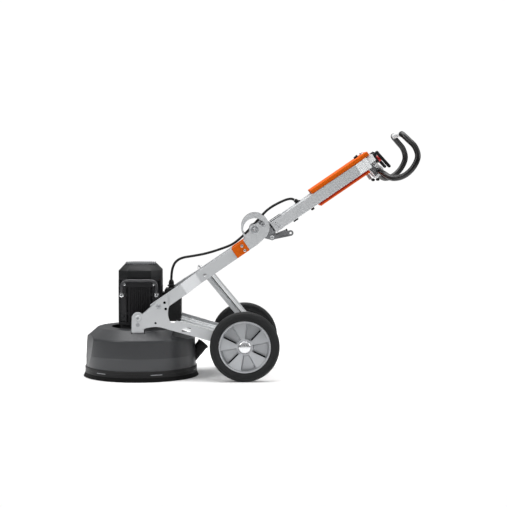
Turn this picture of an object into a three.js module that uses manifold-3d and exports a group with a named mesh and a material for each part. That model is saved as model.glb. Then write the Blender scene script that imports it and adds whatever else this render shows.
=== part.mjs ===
// Walk-behind concrete floor grinder with a planetary grinding head and a folding handle.
// Millimetres, +Z up, floor at Z 0, +X towards the operator, -Y is the near side.
// While it is built, X 0 is the axis of the grinding head; the last lines centre the whole object.

import * as THREE from 'three';
import { mergeVertices } from 'three/addons/utils/BufferGeometryUtils.js';
import Module from 'manifold-3d';

const wasm = await Module();
wasm.setup();

// ---------- driving dimensions ----------

const GAP = 0.3;                       // gap between touching pieces
const SIDES = [['near', -1], ['far', 1]];

const SHROUD_RADIUS = 242;             // outer radius of the shroud at its lower edge
const SHROUD_TOP = 217;                // height of the shroud's flat top
const SHROUD_WALL = 4;
const BRUSH_HEIGHT = 18;
const HOLDER_TOP = 45;

const GEAR_MODULE = 9;
const SUN_TEETH = 12;
const PLANET_TEETH = 15;
const RING_TEETH = 42;                 // ring = sun + 2 x planet
const PLANET_ORBIT = (SUN_TEETH + PLANET_TEETH) * GEAR_MODULE / 2;
const GEAR_Z = [60, 80];
const GRINDING_RADIUS = 100;
const SHAFT_RADIUS = 18;

const MOTOR_HALF = 94;                 // half width across the motor's fins
const MOTOR_Z = [229, 433];
const FAN_COVER_Z = [433, 501];

const WHEEL_RADIUS = 150;
const AXLE = { x: 459, z: 150, radius: 12.5 };

const SIDE_PLATE_Y = [187, 193];
const TRUNNION = { x: 0, z: 270 };     // bolt that carries the grinding head

const ARM_ANGLE = THREE.MathUtils.degToRad(34.3);
const ARM_START = { x: 89.5, z: 321.3 };   // bolt at the bottom of the lower beams
const BEAM_HALF_HEIGHT = 25;
const FOLD_PIVOT = [524.8, 36.5];      // along and above the arm's centre line
const LOCK_BOLT = [566.3, 36.5];
const LATCH_PIVOT = [569, -34];
const RAIL_U = [598, 1081];            // the upper rails, measured along the arm
const RAIL_Y = [82, 112];
const RAIL_V = [-27, 24];              // bottom and top of the rails, across the arm
const CLAMP_AXIS = [1119, -59];        // the handlebar's cross tube, in the arm's frame
const HANDLEBAR_RADIUS = 12.5;

const CABLE_RADIUS = 5.5;

const SILVER = { color: 0xb9bbbd, roughness: 0.42, metalness: 0.75 };
const BRIGHT = { color: 0xe0e2e4, roughness: 0.3, metalness: 0.85 };
const GREY_STEEL = { color: 0x77797c, roughness: 0.5, metalness: 0.7 };
const CHARCOAL = { color: 0x4a4b4c, roughness: 0.55, metalness: 0.2 };
const BLACK = { color: 0x232425, roughness: 0.6, metalness: 0.05 };
const ORANGE = { color: 0xd2601a, roughness: 0.45, metalness: 0.0 };
const DARK_ORANGE = { color: 0xb03a1c, roughness: 0.45, metalness: 0.0 };
const RED = { color: 0xb01414, roughness: 0.4, metalness: 0.0 };

// ---------- solids ----------

function closed(geometry) {
  geometry.deleteAttribute('normal');
  geometry.deleteAttribute('uv');
  const merged = mergeVertices(geometry, 1e-3);
  const corners = merged.index.array;
  const kept = [];
  for (let i = 0; i < corners.length; i += 3) {
    const [a, b, c] = [corners[i], corners[i + 1], corners[i + 2]];
    if (a !== b && b !== c && c !== a) kept.push(a, b, c);
  }
  merged.setIndex(kept);
  return merged;
}

function toManifold(geometry) {
  const merged = closed(geometry.clone());
  const vertProperties = new Float32Array(merged.attributes.position.array);
  const triVerts = new Uint32Array(merged.index.array);
  return new wasm.Manifold(new wasm.Mesh({ numProp: 3, vertProperties, triVerts }));
}

function toGeometry(manifold) {
  const mesh = manifold.getMesh();
  const geometry = new THREE.BufferGeometry();
  geometry.setAttribute('position', new THREE.BufferAttribute(mesh.vertProperties, 3));
  geometry.setIndex(new THREE.BufferAttribute(mesh.triVerts, 1));
  return geometry;
}

function cut(geometry, ...tools) {
  return toGeometry(tools.reduce((body, tool) => body.subtract(toManifold(tool)), toManifold(geometry)));
}

function join(geometry, ...others) {
  return toGeometry(others.reduce((body, other) => body.add(toManifold(other)), toManifold(geometry)));
}

function block([x0, x1], [y0, y1], [z0, z1]) {
  const geometry = new THREE.BoxGeometry(x1 - x0, y1 - y0, z1 - z0);
  return geometry.translate((x0 + x1) / 2, (y0 + y1) / 2, (z0 + z1) / 2);
}

// A mirrored pair of stretches along Y: side is -1 or 1, inner and outer are distances from Y 0.
function reach(side, inner, outer) {
  return side < 0 ? [-outer, -inner] : [inner, outer];
}

// An outline drawn in X and Z, with a thickness along Y.
function slab(outline, [y0, y1], curveSegments = 7) {
  const settings = { depth: y1 - y0, bevelEnabled: false, curveSegments };
  const geometry = new THREE.ExtrudeGeometry(outline, settings);
  return geometry.rotateX(Math.PI / 2).translate(0, y1, 0);
}

// An outline drawn in X and Y, standing from z0 to z1.
function column(outline, [z0, z1], curveSegments = 8) {
  const settings = { depth: z1 - z0, bevelEnabled: false, curveSegments };
  const geometry = new THREE.ExtrudeGeometry(outline, settings);
  return geometry.translate(0, 0, z0);
}

// A profile of [radius, height] turned about Z, listed from the bottom up the outside.
function turned(profile, segments = 48) {
  const points = profile.map(([radius, height]) => new THREE.Vector2(radius, height));
  return new THREE.LatheGeometry(points, segments).rotateX(Math.PI / 2);
}

// A closed ring profile: outside upwards, inside downwards.
function ring(inner, outer, [z0, z1], segments = 40) {
  return turned([[inner, z0], [outer, z0], [outer, z1], [inner, z1], [inner, z0]], segments);
}

function rod(radius, [z0, z1], segments = 16) {
  return turned([[0, z0], [radius, z0], [radius, z1], [0, z1]], segments);
}

// A rod along Y through a point of the X and Z plane.
function crossRod(radius, [y0, y1], [x, z], segments = 16) {
  return rod(radius, [-y1, -y0], segments).rotateX(Math.PI / 2).translate(x, 0, z);
}

function tube(points, radius, steps, sides = 10) {
  const vectors = points.map((p) => new THREE.Vector3(...p));
  const path = new THREE.CatmullRomCurve3(vectors, false, 'centripetal');
  const section = new THREE.Shape();
  for (let i = 0; i < sides; i += 1) {
    const angle = 2 * Math.PI * i / sides;
    const place = i === 0 ? 'moveTo' : 'lineTo';
    section[place](radius * Math.cos(angle), radius * Math.sin(angle));
  }
  section.closePath();
  return new THREE.ExtrudeGeometry(section, { steps, extrudePath: path, bevelEnabled: false });
}

function outlineOf(points) {
  return new THREE.Shape(points.map(([x, y]) => new THREE.Vector2(x, y)));
}

function circle(x, y, radius) {
  const path = new THREE.Path();
  path.absarc(x, y, radius, 0, 2 * Math.PI, false);
  return path;
}

function roundedBox(x0, x1, y0, y1, radius) {
  const shape = new THREE.Shape();
  shape.absarc(x1 - radius, y0 + radius, radius, -Math.PI / 2, 0, false);
  shape.absarc(x1 - radius, y1 - radius, radius, 0, Math.PI / 2, false);
  shape.absarc(x0 + radius, y1 - radius, radius, Math.PI / 2, Math.PI, false);
  shape.absarc(x0 + radius, y0 + radius, radius, Math.PI, 1.5 * Math.PI, false);
  shape.closePath();
  return shape;
}

// ---------- the scene graph ----------

const grinder = new THREE.Group();
const arm = new THREE.Group();
arm.position.set(ARM_START.x, 0, ARM_START.z);
arm.rotation.y = -ARM_ANGLE;
grinder.add(arm);

function add(group, name, geometry, look) {
  const mesh = new THREE.Mesh(closed(geometry), new THREE.MeshStandardMaterial(look));
  mesh.name = name;
  group.add(mesh);
  return mesh;
}

// ---------- grinding head ----------

function shroudOuter(grow) {
  const wall = SHROUD_RADIUS + grow;
  const body = turned([
    [0, 36.5], [wall, 36.5], [wall, 100], [wall - 2.5, 165], [wall - 7, 180],
    [wall - 51, SHROUD_TOP + grow], [0, SHROUD_TOP + grow],
  ], 48);
  return cut(body, ...[-1, 1].map((side) => noseFacet(side, grow)), rampCut(grow));
}

// Each flat facet of the nose leans outwards towards the floor.
function noseFacet(side, grow) {
  const turn = Math.PI + side * THREE.MathUtils.degToRad(17);
  const lean = Math.atan2(12, 110);
  const tool = block([0, 80], [-200, 200], [-130, 130]);
  return tool.rotateY(-lean).translate(228.5 + grow, 0, 165).rotateZ(turn);
}

// The rear of the top slopes down with the chassis arms.
function rampCut(grow) {
  const slope = Math.atan2(18, 63);
  const tool = block([0, 140], [-300, 300], [0, 80]);
  return tool.rotateY(slope).translate(145, 0, 192 + grow);
}

function dustPortAxis(geometry) {
  const angle = THREE.MathUtils.degToRad(40);
  return geometry.rotateY(angle).translate(236, 0, 92);
}

function makeShroud() {
  const hollow = turned([
    [0, 30], [SHROUD_RADIUS - SHROUD_WALL, 30], [SHROUD_RADIUS - SHROUD_WALL, 98],
    [SHROUD_RADIUS - SHROUD_WALL - 2.5, 163], [SHROUD_RADIUS - 56, SHROUD_TOP - SHROUD_WALL],
    [0, SHROUD_TOP - SHROUD_WALL],
  ], 48);
  const facets = [-1, 1].map((side) => noseFacet(side, -SHROUD_WALL));
  const room = cut(hollow, ...facets, rampCut(-SHROUD_WALL));
  const neck = rod(130, [180, 240], 40);
  const slots = SIDES.map(([, side]) => block([-29.5, 29.5], reach(side, 173.5, 203), [195, 240]));
  const portHole = dustPortAxis(rod(20, [-40, 30]));
  return cut(shroudOuter(0), room, neck, ...slots, portHole);
}

function makeDustPort() {
  const pipe = dustPortAxis(ring(22, 25, [-45, 64], 20));
  const bead = dustPortAxis(ring(24, 27.5, [56, 62], 20));
  return cut(join(pipe, bead), shroudOuter(GAP), rod(245, [0, 36.6], 48));
}

function makeSkirtHolder() {
  const [inside, outside] = [SHROUD_RADIUS + 0.8, SHROUD_RADIUS + 5];
  return turned([
    [232, BRUSH_HEIGHT + GAP], [outside, BRUSH_HEIGHT + GAP], [outside, HOLDER_TOP],
    [inside, HOLDER_TOP], [inside, 24], [232, 24], [232, BRUSH_HEIGHT + GAP],
  ], 48);
}

function makeBrushSkirt() {
  return turned([[246, 0], [254, 0], [247, BRUSH_HEIGHT], [240, BRUSH_HEIGHT], [246, 0]], 48);
}

function makeHeadMount(side) {
  const outline = new THREE.Shape();
  outline.moveTo(-24, 110 + GAP);
  outline.lineTo(24, 110 + GAP);
  outline.lineTo(24, TRUNNION.z);
  outline.absarc(TRUNNION.x, TRUNNION.z, 24, 0, Math.PI, false);
  outline.closePath();
  const upright = slab(outline, reach(side, 175, SIDE_PLATE_Y[0] - GAP));
  const foot = block([-24, 24], reach(side, 140, 176), [110 + GAP, 118]);
  const stud = crossRod(8, reach(side, 186, 200), [TRUNNION.x, TRUNNION.z]);
  const head = crossRod(12, reach(side, SIDE_PLATE_Y[1] + GAP, 200), [TRUNNION.x, TRUNNION.z], 6);
  return join(upright, foot, stud, head);
}

add(grinder, 'shroud', makeShroud(), CHARCOAL);
add(grinder, 'dust_port', makeDustPort(), BLACK);
add(grinder, 'skirt_holder', makeSkirtHolder(), BLACK);
add(grinder, 'brush_skirt', makeBrushSkirt(), BLACK);
add(grinder, 'base_plate', ring(SHAFT_RADIUS + 2, 226, [100, 110]), GREY_STEEL);
for (const [name, side] of SIDES) {
  add(grinder, `head_mount_${name}`, makeHeadMount(side), GREY_STEEL);
}

// ---------- planetary gears and grinding plates ----------

// Straight-flanked teeth with plenty of backlash; toothAt is the angle of one tooth's centre.
function toothPoints(teeth, rootRadius, tipRadius, toothAt) {
  const pitchRadius = teeth * GEAR_MODULE / 2;
  const pitch = 2 * Math.PI / teeth;
  const halfAtPitch = 0.19 * Math.PI * GEAR_MODULE;
  const flank = Math.tan(THREE.MathUtils.degToRad(20));
  const thicker = tipRadius > rootRadius ? 1 : -1;
  const halfAngle = (radius) => (halfAtPitch - thicker * (radius - pitchRadius) * flank) / radius;
  const points = [];
  for (let i = 0; i < teeth; i += 1) {
    const centre = toothAt + i * pitch;
    for (const [radius, sign] of [[rootRadius, -1], [tipRadius, -1], [tipRadius, 1], [rootRadius, 1]]) {
      const angle = centre + sign * halfAngle(radius);
      points.push([radius * Math.cos(angle), radius * Math.sin(angle)]);
    }
  }
  return points;
}

function gear(teeth, toothAt, heights, bore) {
  const pitchRadius = teeth * GEAR_MODULE / 2;
  const [root, tip] = [pitchRadius - GEAR_MODULE, pitchRadius + 0.7 * GEAR_MODULE];
  const outline = outlineOf(toothPoints(teeth, root, tip, toothAt));
  if (bore) outline.holes.push(circle(0, 0, bore));
  return column(outline, heights);
}

function makeRingGear() {
  const pitchRadius = RING_TEETH * GEAR_MODULE / 2;
  const outline = new THREE.Shape();
  outline.absarc(0, 0, 208, 0, 2 * Math.PI, false);
  const toothAt = Math.PI / RING_TEETH;
  const [root, tip] = [pitchRadius + GEAR_MODULE, pitchRadius - 0.7 * GEAR_MODULE];
  const inner = toothPoints(RING_TEETH, root, tip, toothAt);
  outline.holes.push(new THREE.Path(inner.map(([x, y]) => new THREE.Vector2(x, y))));
  return column(outline, [GEAR_Z[0] - 2, 100 - GAP], 16);
}

function makeMotorShaft() {
  return turned([
    [0, 56], [15, 56], [SHAFT_RADIUS, 59], [SHAFT_RADIUS, 472], [15, 475], [0, 475],
  ], 16);
}

function makePlanetCarrier() {
  const bores = [0, 1, 2].map((i) => {
    const angle = i * 2 * Math.PI / 3;
    const [x, y] = [PLANET_ORBIT * Math.cos(angle), PLANET_ORBIT * Math.sin(angle)];
    return rod(15 + GAP, [30, 60]).translate(x, y, 0);
  });
  const disc = turned([[0, 40], [208, 40], [212, 44], [212, 54], [0, 54]], 48);
  return cut(disc, ...bores);
}

function makePlanetSpindle(angle) {
  const spindle = turned([
    [0, 26], [40, 26], [40, 32], [28, 39], [15, 39], [15, 86], [0, 86],
  ], 16);
  const toothAt = angle + Math.PI + Math.PI / PLANET_TEETH;
  return join(spindle, gear(PLANET_TEETH, toothAt, GEAR_Z, 0));
}

function makeGrindingPlate() {
  const plate = turned([
    [0, 12], [GRINDING_RADIUS, 12], [GRINDING_RADIUS, 22], [GRINDING_RADIUS - 4, 26 - GAP], [0, 26 - GAP],
  ], 32);
  const segments = [0, 1, 2].map((i) => {
    const segment = block([58, 92], [-12, 12], [0, 14]);
    return segment.rotateZ(i * 2 * Math.PI / 3);
  });
  return join(plate, ...segments);
}

add(grinder, 'ring_gear', makeRingGear(), GREY_STEEL);
add(grinder, 'motor_shaft', makeMotorShaft(), GREY_STEEL);
add(grinder, 'sun_gear', gear(SUN_TEETH, 0, GEAR_Z, SHAFT_RADIUS + GAP), GREY_STEEL);
add(grinder, 'planet_carrier', makePlanetCarrier(), GREY_STEEL);
for (let i = 0; i < 3; i += 1) {
  const angle = i * 2 * Math.PI / 3;
  const planet = new THREE.Group();
  planet.position.set(PLANET_ORBIT * Math.cos(angle), PLANET_ORBIT * Math.sin(angle), 0);
  grinder.add(planet);
  add(planet, `planet_spindle_${i + 1}`, makePlanetSpindle(angle), GREY_STEEL);
  add(planet, `grinding_plate_${i + 1}`, makeGrindingPlate(), GREY_STEEL);
}

// ---------- motor ----------

// A square with cut corners, its sides ribbed by vertical cooling fins.
function finnedOutline(half, corner, fins, depth) {
  const corners = [];
  for (let i = 0; i < 4; i += 1) {
    const turn = i * Math.PI / 2;
    const straight = half - corner;
    const rib = 2 * straight / (2 * fins + 1);
    for (let k = 0; k <= 2 * fins; k += 1) {
      const radius = k % 2 === 0 ? half : half - depth;
      for (const along of [-straight + k * rib, -straight + (k + 1) * rib]) {
        corners.push([
          radius * Math.cos(turn) - along * Math.sin(turn),
          radius * Math.sin(turn) + along * Math.cos(turn),
        ]);
      }
    }
  }
  return outlineOf(corners);
}

function makeMotorHousing() {
  const body = column(finnedOutline(MOTOR_HALF, 38, 5, 7), MOTOR_Z);
  const neck = rod(91, [110 + GAP, MOTOR_Z[0] + 6], 36);
  const bore = rod(SHAFT_RADIUS + 2, [100, 440]);
  return cut(join(body, neck), bore);
}

function eightSided(half, corner) {
  const flat = half - corner;
  return [
    [half, -flat], [half, flat], [flat, half], [-flat, half],
    [-half, flat], [-half, -flat], [-flat, -half], [flat, -half],
  ];
}

// The skirt of the fan cover stands straight, then draws in to the flat top.
function fanCoverSolid(shrink, z0) {
  const [, top] = FAN_COVER_Z;
  const levels = [
    [z0, 94 - shrink, 42],
    [466, 94 - shrink, 42],
    [top - shrink, 69 - shrink, 34],
  ];
  const positions = levels.flatMap(([z, half, corner]) => (
    eightSided(half, corner).map(([x, y]) => [x, y, z])
  ));
  const faces = [];
  for (let level = 0; level < 2; level += 1) {
    for (let i = 0; i < 8; i += 1) {
      const [a, b] = [level * 8 + i, level * 8 + (i + 1) % 8];
      faces.push(a, b, b + 8, a, b + 8, a + 8);
    }
  }
  for (let i = 1; i < 7; i += 1) {
    faces.push(0, i + 1, i);
    faces.push(16, 16 + i, 17 + i);
  }
  const geometry = new THREE.BufferGeometry();
  geometry.setAttribute('position', new THREE.Float32BufferAttribute(positions.flat(), 3));
  geometry.setIndex(faces);
  return geometry;
}

function makeFanCover() {
  const grille = [];
  for (let i = -2; i <= 2; i += 1) {
    grille.push(block([i * 22 - 7, i * 22 + 7], [-45, 45], [480, 500]));
  }
  return cut(fanCoverSolid(0, MOTOR_Z[1] + GAP), fanCoverSolid(4, MOTOR_Z[1] - 10), ...grille);
}

function makeCoolingFan() {
  const hub = ring(SHAFT_RADIUS + GAP, 30, [440, 470], 20);
  const disc = ring(SHAFT_RADIUS + GAP, 66, [440, 443], 20);
  const blades = [0, 1, 2, 3, 4, 5].map((i) => {
    return block([28, 66], [-1.5, 1.5], [441, 466]).rotateZ(i * Math.PI / 3);
  });
  return join(hub, disc, ...blades);
}

function makeTerminalBox() {
  const body = slab(roundedBox(107, 179, 242, 385, 8), [-48, 48], 4);
  const neck = block([MOTOR_HALF + GAP, 108], [-34, 34], [262, 368]);
  return join(body, neck);
}

function makeLowerGland() {
  return turned([
    [0, 385 + GAP], [13, 385 + GAP], [13, 394], [17, 394], [17, 400],
    [11, 401], [11, 415], [8, 422.5], [0, 422.5],
  ], 16).translate(134.6, 0, 0);
}

function makeBowHandle(side) {
  const y = side * 108;
  const root = side * (MOTOR_HALF + GAP);
  const bar = tube([
    [-76, root, 362], [-76, side * 103, 364], [-76, y, 376], [-76, y, 404], [-68, y, 419],
    [-54, y, 424], [0, y, 424], [54, y, 424],
    [68, y, 419], [76, y, 404], [76, y, 376], [76, side * 103, 364], [76, root, 362],
  ], 6.75, 26, 6);
  return cut(bar, block([-90, 90], reach(side, 60, MOTOR_HALF + GAP), [340, 440]));
}

add(grinder, 'motor_housing', makeMotorHousing(), BLACK);
add(grinder, 'fan_cover', makeFanCover(), CHARCOAL);
add(grinder, 'cooling_fan', makeCoolingFan(), BLACK);
add(grinder, 'terminal_box', makeTerminalBox(), BLACK);
add(grinder, 'lower_gland', makeLowerGland(), BLACK);
for (const [name, side] of SIDES) {
  add(grinder, `bow_handle_${name}`, makeBowHandle(side), BLACK);
}

// ---------- chassis ----------

function sidePlateOutline() {
  const outline = new THREE.Shape();
  outline.moveTo(-27, 206);
  outline.lineTo(26, 206);
  outline.lineTo(26, 224);
  outline.quadraticCurveTo(77, 242, 128, 222);
  outline.lineTo(258, 186);
  outline.lineTo(306, 172);
  outline.lineTo(AXLE.x - 8, AXLE.z - 24);
  outline.absarc(AXLE.x, AXLE.z, 25, -1.9, 1.3, false);
  outline.lineTo(324, 214);
  outline.lineTo(166, 260);
  outline.quadraticCurveTo(152, 240, 137, 257);
  outline.quadraticCurveTo(124, 288, 134, 320);
  outline.lineTo(127, 375);
  outline.lineTo(88, 348);
  outline.lineTo(18, 286);
  outline.absarc(TRUNNION.x, TRUNNION.z, 26, 0.7, Math.PI, false);
  outline.closePath();
  const window = roundedBox(189, 228, 211, 229, 5);
  outline.holes.push(
    circle(TRUNNION.x, TRUNNION.z, 8 + GAP),
    circle(AXLE.x, AXLE.z, AXLE.radius + 2 * GAP),
    circle(115, 337, 6),
    circle(120, 310, 6),
    circle(76, 249, 5),
    new THREE.Path(window.getPoints(4)),
  );
  return outline;
}

function makeRearDeck() {
  const slope = Math.atan2(45, 160);
  const sheet = block([0, 268], [-186.7, 186.7], [-8, 0]);
  const grooves = [-80, 80].map((y) => block([-5, 280], [y - 6, y + 6], [-3, 5]));
  return cut(sheet, ...grooves).rotateY(slope).translate(168, 0, 238);
}

function makeAxle() {
  const middle = crossRod(AXLE.radius, [-196, 196], [AXLE.x, AXLE.z]);
  return join(middle, crossRod(10, [-242, 242], [AXLE.x, AXLE.z]));
}

const STRUT_FOOT = [486, 221];
const STRUT_ANGLE = THREE.MathUtils.degToRad(50.5);
const STRUT_HALF_WIDTH = 64;
const STRUT_DEPTH = [-17, 20];

function alongStrut(geometry) {
  return geometry.rotateY(STRUT_ANGLE).translate(STRUT_FOOT[0], 0, STRUT_FOOT[1]);
}

// The strut's own frame has X down the strut and Z across it; its foot is X 0.
function makeStrut() {
  const bar = block([-316, 0], [-STRUT_HALF_WIDTH, STRUT_HALF_WIDTH], STRUT_DEPTH);
  const groove = block([-330, 10], [-20, 20], [STRUT_DEPTH[1] - 6, 30]);
  const boss = block([-316, -286], [-STRUT_HALF_WIDTH, STRUT_HALF_WIDTH], [-22, 22]);
  return alongStrut(join(cut(bar, groove), boss));
}

function makeAxleCarrier() {
  const outline = new THREE.Shape();
  outline.absarc(AXLE.x, AXLE.z, 28, -3.6, -0.3, false);
  outline.lineTo(512, 205);
  outline.lineTo(505, 240);
  outline.lineTo(466, 208);
  outline.closePath();
  const body = slab(outline, [-70, 70]);
  const width = STRUT_HALF_WIDTH + GAP;
  const depth = [STRUT_DEPTH[0] - GAP, STRUT_DEPTH[1] + GAP];
  const seat = alongStrut(block([-60, GAP], [-width, width], depth));
  return cut(body, seat, crossRod(AXLE.radius + GAP, [-80, 80], [AXLE.x, AXLE.z]));
}

// Seen from above: wide at the side plates, then a joggle inwards to the fold joint.
function makeLowerBeam(side) {
  const plan = [
    [-28, 146.7], [120, 146.7], [197, 65], [452, 65],
    [452, 105], [205, 105], [130, 186.7], [-28, 186.7],
  ];
  const outline = outlineOf(plan.map(([u, y]) => [u, side * y]));
  const beam = column(outline, [-BEAM_HALF_HEIGHT, BEAM_HALF_HEIGHT]);
  const [low, high] = [[394, 460], BEAM_HALF_HEIGHT - 4];
  const shoulder = [
    block(low, reach(side, 60, 110), [high, 30]),
    block(low, reach(side, 60, 110), [-30, -high]),
    block(low, reach(side, 101, 110), [-30, 30]),
    block(low, reach(side, 60, 69), [-30, 30]),
  ];
  return cut(beam, ...shoulder);
}

function makeSleeve(side) {
  const outer = block([394 + GAP, 458], reach(side, 62, 109), [-BEAM_HALF_HEIGHT, BEAM_HALF_HEIGHT]);
  const inner = block([380, 470], reach(side, 69 - GAP, 101 + GAP), [-21 - GAP, 21 + GAP]);
  return cut(outer, inner);
}

for (const [name, side] of SIDES) {
  add(grinder, `side_plate_${name}`, slab(sidePlateOutline(), reach(side, ...SIDE_PLATE_Y)), SILVER);
}
add(grinder, 'rear_deck', makeRearDeck(), BRIGHT);
add(grinder, 'axle', makeAxle(), GREY_STEEL);
add(grinder, 'strut', makeStrut(), SILVER);
add(grinder, 'axle_carrier', makeAxleCarrier(), GREY_STEEL);
for (const [name, side] of SIDES) {
  add(arm, `lower_beam_${name}`, makeLowerBeam(side), SILVER);
  add(arm, `sleeve_${name}`, makeSleeve(side), ORANGE);
}

// ---------- fold joint ----------

const FOLD_PLATE_Y = [103.5, 109];
const HOOP_CENTRE = [533, 43];
const HOOP_RADIUS = 62;
const SLOT_OUTER = 50;                 // the arc slot, about the fold pivot
const SLOT_INNER = 33;
const BOSS_RADIUS = 24;

// The slot runs round the pivot from the lock bolt; the rest of the hoop is open down to the boss.
function hoopWindow() {
  const [px, py] = FOLD_PIVOT;
  const window = new THREE.Path();
  window.absarc(LOCK_BOLT[0], LOCK_BOLT[1], 8.5, -Math.PI, 0, false);
  window.absarc(px, py, SLOT_OUTER, 0, 2.76, false);
  window.lineTo(px - 47, py + 12);
  window.lineTo(px - 45, py + 4);
  window.lineTo(px - BOSS_RADIUS, py + 4);
  window.absarc(px, py, BOSS_RADIUS, 2.97, 0.75, true);
  window.absarc(px, py, SLOT_INNER, 0.6, 0, true);
  window.closePath();
  return window;
}

function makeFoldPlate(side) {
  const outline = new THREE.Shape();
  outline.moveTo(458 + GAP, -24);
  outline.lineTo(500, -24);
  outline.absarc(...HOOP_CENTRE, HOOP_RADIUS, -1.4, 3.32, false);
  outline.lineTo(458 + GAP, 27);
  outline.closePath();
  outline.holes.push(hoopWindow());
  const plate = slab(outline, reach(side, ...FOLD_PLATE_Y), 12);
  const root = block([452 + GAP, 474], reach(side, 70, 104), [-20, 20]);
  const pin = crossRod(8, reach(side, 90, 114), FOLD_PIVOT);
  const nut = crossRod(13, reach(side, 108.5, 115), FOLD_PIVOT, 12);
  const sleeveRoom = cut(block([440, 458 + GAP], reach(side, 60, 115), [-30, 30]),
    block([440, 460], reach(side, 70, 100), [-20.5, 20.5]));
  return join(cut(join(plate, root), sleeveRoom), pin, nut);
}

const BRACKET_Y = [96, 103];

function makeHandleBracket(side) {
  const outline = new THREE.Shape();
  outline.absarc(...FOLD_PIVOT, 22, Math.PI / 2, 1.35 * Math.PI, false);
  outline.lineTo(541, -21);
  outline.absarc(...LATCH_PIVOT, 13, 1.1 * Math.PI, 1.9 * Math.PI, false);
  outline.lineTo(597, -22);
  outline.lineTo(597, 24);
  outline.lineTo(575, 52);
  outline.closePath();
  const pivotHole = circle(...FOLD_PIVOT, 8 + GAP);
  const lockHole = circle(...LOCK_BOLT, 6 + GAP);
  const latchHole = circle(...LATCH_PIVOT, 5 + GAP);
  outline.holes.push(pivotHole, lockHole, latchHole);
  const plate = slab(outline, reach(side, ...BRACKET_Y), 8);
  const spigot = block([590, 650], reach(side, RAIL_Y[0] + 4, RAIL_Y[1] - 5), [-19, 19]);
  const trimmed = cut(spigot, block([585, 597], reach(side, 103, 120), [-30, 30]));
  return join(plate, trimmed);
}

function makeLockRod() {
  const bar = crossRod(6, [-112, 112], LOCK_BOLT);
  const heads = SIDES.map(([, side]) => crossRod(9, reach(side, 109 + GAP, 116), LOCK_BOLT, 12));
  return join(bar, ...heads);
}

function makeLatchLever() {
  const outline = new THREE.Shape();
  outline.absarc(...LATCH_PIVOT, 10, 1.35, 4.35, false);
  outline.lineTo(641, -75);
  outline.absarc(646, -63.4, 12.5, -1.9, 1.2, false);
  outline.closePath();
  outline.holes.push(circle(646, -63.4, 5));
  const blade = slab(outline, [-111, -103 - GAP], 8);
  const pin = crossRod(5, [-110, -90], LATCH_PIVOT);
  const grip = block([589, 641], [-111, -103 - GAP], [-3.5, 3.5]);
  grip.translate(-589, 0, 0).rotateY(0.24).translate(589, 0, -30.5);
  const web = block([586, 600], [-110, -104], [-48, -32]);
  return join(blade, pin, grip, web);
}

for (const [name, side] of SIDES) {
  add(arm, `fold_plate_${name}`, makeFoldPlate(side), SILVER);
  add(arm, `handle_bracket_${name}`, makeHandleBracket(side), GREY_STEEL);
}
add(arm, 'lock_rod', makeLockRod(), GREY_STEEL);
add(arm, 'latch_lever', makeLatchLever(), CHARCOAL);

// ---------- upper handle ----------

function makeUpperRail(side) {
  const outer = block(RAIL_U, reach(side, ...RAIL_Y), RAIL_V);
  const inner = block([590, 1090], reach(side, RAIL_Y[0] + 3, RAIL_Y[1] - 3), [-24, 21]);
  return cut(outer, inner);
}

function makeControlCabinet() {
  return block([690, 1078], [-RAIL_Y[0] + GAP, RAIL_Y[0] - GAP], RAIL_V);
}

const KNOB_U = 1073;
const BUTTON_U = 1101;

function makeTopCover() {
  const section = new THREE.Shape();
  section.moveTo(-113, 24 + GAP);
  section.lineTo(113, 24 + GAP);
  section.absarc(108, 37, 5, 0, Math.PI / 2, false);
  section.absarc(-108, 37, 5, Math.PI / 2, Math.PI, false);
  section.closePath();
  const length = 1118 - 820;
  const settings = { depth: length, bevelEnabled: false, curveSegments: 4 };
  const lid = new THREE.ExtrudeGeometry(section, settings);
  lid.rotateX(Math.PI / 2).rotateZ(Math.PI / 2).translate(820, 0, 0);
  return cut(lid, rod(4 + GAP, [35, 60], 12).translate(BUTTON_U, 0, 0));
}

const GLAND_U = 750;
const GLAND_LEAN = THREE.MathUtils.degToRad(25);

function makeUpperGland() {
  const foot = rod(13, [RAIL_V[1] + GAP, 30], 16).translate(GLAND_U, 0, 0);
  const nut = rod(9, [0, 16], 12).rotateY(-GLAND_LEAN).translate(GLAND_U, 0, 27);
  return cut(join(foot, nut), block([720, 790], [-20, 20], [0, RAIL_V[1] + GAP]));
}

function makeHandleHead() {
  const outline = new THREE.Shape();
  outline.moveTo(RAIL_U[1] + GAP, RAIL_V[0]);
  outline.lineTo(1092, -78);
  outline.absarc(...CLAMP_AXIS, 21, -2.0, 0.4, false);
  outline.lineTo(1130, -27);
  outline.lineTo(1130, 22);
  outline.lineTo(RAIL_U[1] + GAP, 22);
  outline.closePath();
  const body = slab(outline, [-60, 60], 10);
  const collar = block([RAIL_U[1] + GAP, 1104], [-RAIL_Y[1], RAIL_Y[1]], RAIL_V);
  return cut(join(body, collar), crossRod(HANDLEBAR_RADIUS + 4 * GAP, [-70, 70], CLAMP_AXIS, 20));
}

const LEVER_Y = 92;
const LEVER_V = 13;
const STOP_V = -16;

// A bar across the handle head that carries the emergency stop and both clamp levers.
function makeControlBar() {
  const bar = block([1130 + GAP, 1138], [-106, 106], [-26, 20]);
  const lugs = SIDES.map(([, side]) => block([1104 + GAP, 1132], reach(side, 74, 106), [-10, 20]));
  return cut(join(bar, ...lugs), rod(6.5, [0, 10], 16).rotateY(Math.PI / 2).translate(1132, 0, STOP_V));
}

function makeEmergencyStop() {
  const profile = [[0, 0], [6, 0], [6, 8], [13, 9], [14, 12], [14, 19], [11, 23], [0, 23]];
  return turned(profile, 14).rotateY(Math.PI / 2).translate(1138.5, 0, STOP_V);
}

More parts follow.
